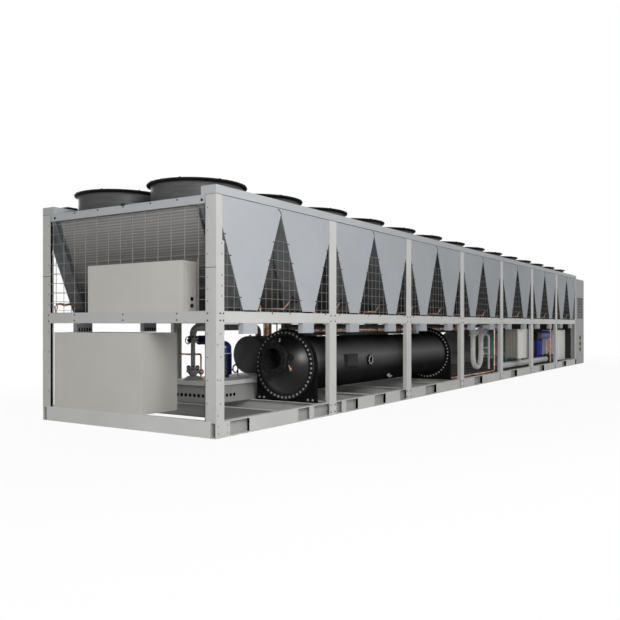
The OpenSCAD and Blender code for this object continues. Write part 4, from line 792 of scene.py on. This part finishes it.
def water_head_fittings():
    """Probe with a black gland and a bright copper end on the front water head, and its vent."""
    root = Vector((sheets_low.x - 0.12, SHELL_AXIS.y - 0.150, SHELL_AXIS.z + 0.085))
    elbow = root - ALONG * 0.045
    nut = [(0, 0), (0.040, 0), (0.040, 0.055), (0.026, 0.062), (0.026, 0.095), (0, 0.095)]
    gland = Builder()
    gland.lathe(root + ALONG * 0.03, -ALONG, nut, 18)
    gland.lathe(elbow, -UP, rod(0.020, 0.075), 14)
    piece("probe_gland", gland, guard_black)
    lean = Vector((-0.20, -0.55, -0.80)).normalized()
    stem = [(0, 0), (0.012, 0), (0.012, 0.045), (0.018, 0.047), (0.018, 0.075), (0, 0.078)]
    probe = Builder()
    probe.lathe(elbow - UP * 0.072, lean, stem, 12)
    piece("probe_tube", probe, copper)
    at = (sheets_low.x - 0.085, SHELL_AXIS.y + 0.018, SHELL_AXIS.z + 0.225)
    nipple = [(0, 0), (0.012, 0), (0.012, 0.035), (0.007, 0.038), (0.007, 0.060), (0, 0.060)]
    vent = Builder()
    vent.lathe(at, UP, nipple, 12)
    piece("head_vent", vent, bolt_zinc)


def shell_fittings():
    """Bright ring and bolts of the sight glass, and a drain valve under the shell."""
    low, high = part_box("sight_glass")
    centre = Vector(((low.x + high.x) / 2, low.y, (low.z + high.z) / 2))
    flange_r = (high.z - low.z) / 2
    out = Builder()
    out.bead(centre, -ACROSS, 0.66 * flange_r, 0.005, sides=28)
    for cos, sin in circle_points(8, 0.2):
        out.bolt(centre + 0.84 * flange_r * Vector((cos, 0, sin)), -ACROSS, POST_BOLT)
    outward = Vector((0, -1, -1)).normalized()
    drain = Vector((FRONT + 3.695, SHELL_AXIS.y, SHELL_AXIS.z)) + outward * (SHELL_R - 0.004)
    body = [(0, 0), (0.022, 0), (0.022, 0.02), (0.012, 0.02), (0.012, 0.05), (0, 0.05)]
    lever = [(0, -0.03), (0.009, -0.03), (0.009, 0.06), (0, 0.06)]
    out.lathe(drain, outward, body, 12)
    out.lathe(drain + outward * 0.035, ALONG, lever, 10)
    piece("shell_fittings", out, grey_zinc)


def cowl_rims():
    """Rolled edge round every cowl, with the clips that hold the guard."""
    rim_r = fan_x(0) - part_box("fan_cowls")[0].x
    roll_z = COWL_TOP + 0.003
    roll_r = 0.010
    roll_in = 0.004
    clips = 8
    clip_in = 0.008
    clip = [(0, 0), (0.011, 0), (0.011, 0.010), (0.007, 0.014), (0, 0.014)]
    out = Builder()
    for node in ("fan_guards_near", "fan_guards_far"):
        low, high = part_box(node)
        for i in range(FANS):
            centre = Vector((fan_x(i), (low.y + high.y) / 2, roll_z))
            out.bead(centre, UP, rim_r - roll_in, roll_r)
            for cos, sin in circle_points(clips, math.pi / clips):
                out.lathe(centre + (rim_r - clip_in) * Vector((cos, sin, 0)), UP, clip, 8)
    piece("cowl_rims", out, guard_black)


def fan_guard_wires():
    """Wire guards: concentric rings on spokes round a motor plate."""
    ring_step = 0.036
    wire_r = 0.0025
    spokes = 8
    spoke_r = 0.004
    spoke_up = UP * 0.003
    plate_r = 0.085
    plate = [(0, 0), (plate_r, 0), (plate_r, 0.006), (plate_r - 0.010, 0.010), (0, 0.010)]
    for row in ("near", "far"):
        node = "fan_guards_" + row
        low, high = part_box(node)
        guard_r = (high.y - low.y) / 2
        rings = int((guard_r - 0.10) / ring_step)
        out = Builder()
        for i in range(FANS):
            centre = Vector((fan_x(i), (low.y + high.y) / 2, (low.z + high.z) / 2))
            out.lathe(centre - UP * 0.004, UP, plate, 24)
            for k in range(rings + 1):
                out.bead(centre, UP, guard_r - wire_r - k * ring_step, wire_r, sides=40, round_sides=4)
            for cos, sin in circle_points(spokes):
                ray = Vector((cos, sin, 0))
                ends = [centre + ray * reach + spoke_up for reach in (0.07, guard_r - 0.002)]
                out.tube(ends, spoke_r, 6)
        piece("fan_guard_wires_" + row, out, guard_black, replaces=(node,))


def coil_header_bands():
    """Dark header tubes of the coils, in the recess beside each casing."""
    casing_low, casing_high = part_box("coil_casings")
    fins_low, fins_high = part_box("coil_fins")
    tube_r = 0.017
    tube_in = 0.012
    columns = (fins_low.y + tube_r + 0.004, fins_high.y - tube_r - 0.004)
    ends_z = (casing_low.z + 0.010, casing_high.z - 0.010)
    out = Builder()
    for i, lean, y in product(range(FANS), (-1, 1), columns):
        out.tube([(fan_x(i) + lean * (v_half(z) - tube_in), y, z) for z in ends_z], tube_r, 10)
    piece("coil_header_bands", out, band_grey)


def upper_box_glands():
    """Two cable glands in the side of the upper box."""
    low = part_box("upper_control_box")[0]
    from_front = 0.123
    sunk = 0.008
    gland = [
        (0, 0), (0.0165, 0), (0.0165, 0.010), (0.019, 0.010), (0.019, 0.014), (0.012, 0.016), (0, 0.012)
    ]
    out = Builder()
    for up in (0.052, 0.112):
        out.lathe((low.x + from_front, low.y + sunk, low.z + up), -ACROSS, gland, 18)
    piece("upper_box_glands", out, guard_black)


def terminal_lid():
    """Lid with a folded edge on the terminal box, held by screws, and ribs down the box's end."""
    low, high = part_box("terminal_box")
    lip = 0.006
    lid_front = low.y - 0.010
    screw_in = 0.03
    out = Builder()
    out.block((low.x - lip, lid_front, low.z - lip), (high.x + lip, low.y + 0.014, high.z + lip), 0.005)
    for x, share in product((low.x + screw_in, high.x - screw_in), (0.06, 0.5, 0.94)):
        out.bolt((x, lid_front, low.z + share * (high.z - low.z)), -ACROSS, POST_BOLT)
    piece("terminal_lid", out, lid_paint)
    rib_pitch = 0.030
    rib_w = 0.012
    rib_low, rib_high = low.z + 0.03, high.z - 0.03
    ribs = Builder()
    for k in range(1, 8):
        y = low.y + k * rib_pitch
        ribs.block((low.x - 0.004, y, rib_low), (low.x + 0.003, y + rib_w, rib_high))
    piece("terminal_ribs", ribs, rib_paint)


def door_fittings():
    """Hinges and lever handles on the doors of the end cabinet."""
    low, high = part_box("end_cabinet_doors")
    face = high.x
    leaves = 3
    gap = 0.006
    leaf = (high.y - low.y - (leaves - 1) * gap) / leaves
    hinge_r, hinge_l, hinge_in = 0.009, 0.08, 0.012
    handle_in = 0.06
    z = (low.z + high.z) / 2
    out = Builder()
    for i in range(leaves):
        edge = low.y + i * (leaf + gap)
        for share in (0.12, 0.5, 0.88):
            hinge_low = low.z + share * (high.z - low.z) - hinge_l / 2
            out.lathe((face - 0.002, edge + hinge_in, hinge_low), UP, rod(hinge_r, hinge_l), 12)
        y = edge + leaf - handle_in
        out.block((face - 0.001, y - 0.018, z - 0.06), (face + 0.006, y + 0.018, z + 0.06), 0.003)
        out.block((face + 0.005, y - 0.010, z - 0.045), (face + 0.020, y + 0.010, z + 0.03), 0.004)
    piece("end_door_fittings", out, dark_zinc)


def hole_shade_blocks(out):
    """Painted shade: black rimmed discs in the two rows of holes in the platform's skirt."""
    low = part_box("equipment_platform")[0]
    z = BASE_TOP + 0.074
    r = 0.019
    pitch = 0.060
    inset = 0.030
    rim = [(0, -0.006), (r, -0.006), (r, 0.0012), (r - 0.003, 0.0016), (r - 0.004, 0.0004), (0, 0.0004)]
    for i in range(1, 7):
        out.lathe((low.x + i * pitch, low.y + inset, z), -ACROSS, rim, 18)
    for i in range(2, 10):
        out.lathe((low.x + inset, low.y + i * pitch, z), -ALONG, rim, 18)


def slot_shade_blocks(out):
    """Painted shade: black blocks in the slots of the coil feet."""
    slots = 5
    foot_w = 0.207
    foot_in = 0.058
    half_w, half_t = 0.010, 0.003
    foot_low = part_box("coil_feet")[0].z
    low_z, high_z = foot_low + 0.014, foot_low + 0.050
    for i, k, y in product(range(FANS), range(1, slots + 1), (NEAR + foot_in, FAR - foot_in)):
        x = fan_x(i) - foot_w / 2 + k * foot_w / (slots + 1)
        out.block((x - half_w, y - half_t, low_z), (x + half_w, y + half_t, high_z))


def vent_shade_blocks(out):
    """Painted shade: three black round discs in the vents low on the side of the end cabinet."""
    x = REAR + 0.430
    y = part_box("end_cabinet")[0].y
    r = 0.058
    vent = [(0, -0.001), (r - 0.008, -0.001), (r - 0.006, -0.003), (r, -0.003), (r, 0.020), (0, 0.020)]
    for z in (0.355, 0.495, 0.635):
        out.lathe((x, y, z), ACROSS, vent, 24)


def pocket_shade_blocks(out):
    """Painted shade: black blocks inside the base channels, behind the edges of the closing plates."""
    # Where pockets end, from the start of their bay
    first_ends = {0: (0.465,), 1: (0.565, 1.255)}
    later_ends = (0.920,)
    behind_from, behind_to = 0.030, 0.260
    flange_top = 0.010
    low_z = flange_top - 0.001
    skin = 0.004
    for bay in range(BAYS):
        ends = first_ends.get(bay, later_ends)
        for pocket_end, (wall, inward) in product(ends, ((NEAR, 1), (FAR, -1))):
            x = FRONT + bay * BAY + pocket_end
            start, end = x + behind_from, x + behind_to
            mouth = wall + inward * 0.012
            web = wall + inward * (WEB_IN + 0.004)
            face = web - inward * (skin + 0.002)
            out.block((start, min(face, web), low_z), (end, max(face, web), BASE_TOP - flange_top))
            out.block((start, min(mouth, web), low_z), (end, max(mouth, web), flange_top + skin))


def painted_shade_blocks():
    """Painted shade: black blocks in the platform's holes, the coil feet's slots, the cabinet's vents and the
    base pockets.
    """
    out = Builder()
    hole_shade_blocks(out)
    slot_shade_blocks(out)
    vent_shade_blocks(out)
    pocket_shade_blocks(out)
    piece("painted_shade_blocks", out, pitch_black)


def corner_pipe():
    """Copper pipe from the far beam to the foot of the first coil."""
    y = FAR - 0.075
    path = ((0.10, 1.060), (0.10, 1.140), (0.115, 1.165), (0.15, 1.175), (0.20, 1.160), (0.27, 1.172),
            (0.37, 1.150))
    out = Builder()
    out.tube([(FRONT + x, y, z) for x, z in path], 0.012, 10)
    out.lathe((FRONT + 0.10, y, 1.120), UP, rod(0.018, 0.03), 12)
    piece("corner_pipe", out, copper)


def far_pipe_rack():
    """Pipes on hangers under the far beam, behind the evaporator and the compressors."""
    y = FAR - 0.170
    start, end = FRONT + 3.9, FRONT + 12.2
    first, last = 4, 12
    coupling_t, coupling_l = 0.006, 0.04
    runs = Builder()
    for z, r, gap in ((0.888, 0.018, 0.0), (0.855, 0.013, 0.05)):
        runs.tube([(start, y + gap, z), (end, y + gap, z)], r, 12)
        outer = r + coupling_t
        coupling = [(r, 0), (outer, 0), (outer, coupling_l), (r, coupling_l)]
        for k in range(first, last):
            runs.lathe((FRONT + k * HALF_BAY + 0.30, y + gap, z), ALONG, coupling, 12, ring=True)
    piece("far_pipe_runs", runs, copper)
    hanger_t = 0.006
    hanger_w = 0.030
    hanger_low, hanger_top = 0.785, BEAM_LOW - 0.012
    near_leg, far_leg = y - 0.105, y + 0.084
    far_face = far_leg + hanger_t
    lagged_y = y - 0.060
    lagged = Builder()
    for z, r in ((0.930, 0.034), (0.818, 0.028)):
        lagged.tube([(start, lagged_y, z), (end + 0.1, lagged_y, z)], r, 14)
    for k in range(first, last + 1):
        x = FRONT + k * HALF_BAY + 0.14
        side = x + hanger_w
        lagged.block((x, near_leg, hanger_low), (side, far_face, hanger_low + hanger_t))
        for leg in (near_leg, far_leg):
            lagged.block((x, leg, hanger_low), (side, leg + hanger_t, BEAM_LOW + 0.002))
        lagged.block((x, far_leg, hanger_top), (side, FAR - 0.010, BEAM_LOW + 0.001))
        lagged.block((x, near_leg, hanger_top), (side, far_face, BEAM_LOW - 0.004))
    piece("far_pipe_hangers", lagged, vessel_black)


def capillary_path():
    """Path of the rigid coiled tube beside the drier, from the drier's body down to the platform."""
    low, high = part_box("filter_drier")
    middle_y = (low.y + high.y) / 2
    loop_r = 0.045
    turns = 1.5
    steps = 40
    path = [Vector((high.x - 0.012, middle_y - 0.02, PLATFORM_TOP + 0.060))]
    for i in range(steps + 1):
        done = i / steps
        angle = math.pi - turns * 2 * math.pi * done
        centre = Vector((high.x + 0.075 + 0.05 * done, middle_y - 0.03 + 0.04 * done, PLATFORM_TOP + 0.085))
        path.append(centre + loop_r * Vector((math.cos(angle), 0, math.sin(angle))))
    path.append(Vector((path[-1].x, path[-1].y, PLATFORM_TOP - 0.003)))
    return path


def riser_fittings():
    """Bolts through the grey riser's flanges, its valve's hand wheel, and the coiled tube by the drier."""
    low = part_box("vent_riser")[0]
    foot_r = 0.112
    x = low.x + foot_r
    y = low.y + foot_r
    flange_bolts = ((0.082, 0.058), (0.117, 0.058), (0.433, 0.046))
    stud = rod(0.008, 0.038)
    wheel_z = PLATFORM_TOP + 0.425
    wheel_r = 0.038
    out = Builder()
    for up, r in flange_bolts:
        for cos, sin in circle_points(8):
            out.lathe((x + r * cos, y + r * sin, PLATFORM_TOP + up), UP, stud, 6)
    out.lathe((x - 0.05, y, wheel_z), -ALONG, rod(0.012, 0.03), 10)
    wheel = Vector((x - 0.078, y, wheel_z))
    out.bead(wheel, ALONG, wheel_r, 0.005, sides=24)
    for cos, sin in circle_points(3, 0.5):
        out.tube([wheel, wheel + wheel_r * Vector((0, cos, sin))], 0.003, 6)
    out.tube(capillary_path(), 0.008, 8)
    piece("riser_fittings", out, guard_black)


def suction_fittings():
    """Flanged valves at the tops of the trap's two legs."""
    pipe_low, pipe_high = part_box("service_pipe")
    rise_x = (pipe_low.x + pipe_high.x) / 2
    legs_apart = 0.404
    leg_r = 0.042
    flange_r = 0.068
    half_h = 0.060
    body = [
        (leg_r, 0), (flange_r, 0), (flange_r, 0.020), (0.052, 0.024), (0.060, 0.060), (0.052, 0.096),
        (flange_r, 0.100), (flange_r, 0.120), (leg_r, 0.120)
    ]
    bonnet = [(0.03, 0), (0.03, 0.085), (0.020, 0.095), (0, 0.095)]
    out = Builder()
    for x, z in ((rise_x - legs_apart, 0.820), (rise_x, 0.835)):
        out.lathe((x, SHELL_AXIS.y, z - half_h), UP, body, 20, ring=True)
        out.lathe((x, SHELL_AXIS.y, z), -ACROSS, bonnet, 14)
    piece("suction_fittings", out, sleeve)


def seen_directly(nodes, links):
    """1 for rays from the camera, in reflections and through glass, else 0."""
    path = nodes.new("ShaderNodeLightPath")
    total = path.outputs["Is Camera Ray"]
    for name in ("Is Glossy Ray", "Is Transmission Ray"):
        most = nodes.new("ShaderNodeMath")
        most.operation = "MAXIMUM"
        links.new(total, most.inputs[0])
        links.new(path.outputs[name], most.inputs[1])
        total = most.outputs[0]
    return total


def floor():
    """Pale floor that shows as white, keeps a faint shadow and runs out into the backdrop."""
    half = 60.0
    shadow_oval = (0.11, 0.25, 1.0)
    oval_edge, oval_end = 1.0, 1.5
    white_under = 0.93
    mesh = bpy.data.meshes.new("floor")
    corners = [(-half, -half, 0), (half, -half, 0), (half, half, 0), (-half, half, 0)]
    mesh.from_pydata(corners, [], [(0, 1, 2, 3)])
    shader = Shader("floor", 0.9, specular=0.1)
    shader.colour((0.80, 0.80, 0.80, 1))
    reach = shader.node("ShaderNodeMapping", Vector=shader.place(), Scale=shadow_oval)
    away = shader.node("ShaderNodeVectorMath", {"operation": "LENGTH"})
    shader.put(away.inputs[0], reach.outputs[0])
    white = shader.between(away.outputs["Value"], oval_edge, oval_end, white_under, 1.0)
    nodes, links = shader.tree.nodes, shader.tree.links
    glow = nodes.new("ShaderNodeEmission")
    glow.inputs["Strength"].default_value = 1.0
    mix = nodes.new("ShaderNodeMixShader")
    shader.put(mix.inputs[0], shader.math("MULTIPLY", seen_directly(nodes, links), white))
    links.new(shader.surface.outputs[0], mix.inputs[1])
    links.new(glow.outputs[0], mix.inputs[2])
    links.new(mix.outputs[0], nodes["Material Output"].inputs[0])
    mesh.materials.append(shader.material)
    obj = bpy.data.objects.new("floor", mesh)
    bpy.context.scene.collection.objects.link(obj)


def world_light(strength):
    """White background, with a plainer even light on the object."""
    world = bpy.data.worlds.new("studio")
    world.use_nodes = True
    nodes, links = world.node_tree.nodes, world.node_tree.links
    background = nodes["Background"]
    background.inputs["Color"].default_value = (1, 1, 1, 1)
    level = nodes.new("ShaderNodeMapRange")
    level.inputs["To Min"].default_value = strength
    level.inputs["To Max"].default_value = 1.0
    links.new(seen_directly(nodes, links), level.inputs["Value"])
    links.new(level.outputs[0], background.inputs["Strength"])
    bpy.context.scene.world = world


def soft_lamp(name, at, aim, size, power, highlights_only):
    """Rectangular lamp that the camera doesn't see."""
    light = bpy.data.lights.new(name, "AREA")
    light.shape = "RECTANGLE"
    light.size, light.size_y = size
    light.energy = power
    lamp = bpy.data.objects.new(name, light)
    lamp.location = at
    lamp.rotation_euler = (Vector(aim) - Vector(at)).to_track_quat("-Z", "Y").to_euler()
    lamp.visible_camera = False
    lamp.visible_diffuse = not highlights_only
    bpy.context.scene.collection.objects.link(lamp)


def photo_camera():
    """Camera at the photograph's viewpoint, level, with its horizon set by the shift."""
    lens = bpy.data.cameras.new("photo_camera")
    lens.sensor_width = SENSOR
    lens.lens = FOCAL / PICTURE * SENSOR
    lens.shift_y = (HORIZON - PICTURE / 2) / PICTURE
    lens.clip_end = VIEW_REACH
    camera = bpy.data.objects.new("photo_camera", lens)
    camera.location = CAMERA_AT
    camera.rotation_euler = CAMERA_AHEAD.to_track_quat("-Z", "Y").to_euler()
    bpy.context.scene.collection.objects.link(camera)
    bpy.context.scene.camera = camera


# Lamps: name, place, aim, size, power in watts, and whether only highlights show it
WORLD_LEVEL = 0.30
LAMPS = (
    ("key", (-11.0, -7.8, 4.6), (-5.5, 0.0, 1.0), (5.0, 4.0), 570, False),
    ("glint", (-11.0, -7.8, 4.6), (-5.5, -0.7, 0.6), (2.0, 2.0), 1500, True),
    ("side", (6.0, -8.0, 4.5), (5.0, -1.0, 0.9), (5.0, 3.0), 110, False),
    ("back", (12.0, 6.0, 5.0), (5.0, 0.0, 1.0), (5.0, 4.0), 420, False),
    ("far", (-2.0, 9.0, 5.0), (-1.0, 1.0, 1.0), (6.0, 4.0), 420, False),
)

photo_camera()
floor()
world_light(WORLD_LEVEL)
for lamp_values in LAMPS:
    soft_lamp(*lamp_values)
bpy.context.scene.view_settings.view_transform = "Standard"

corner_bolts()
joint_bolts()
beam_bolts()
plate_clips()
seams_and_shade_lines()
apex_hooks()
base_bolts()
beam_plugs()
evaporator_bolts()
water_head_fittings()
shell_fittings()
cowl_rims()
fan_guard_wires()
coil_header_bands()
upper_box_glands()
terminal_lid()
door_fittings()
painted_shade_blocks()
corner_pipe()
far_pipe_rack()
riser_fittings()
suction_fittings()
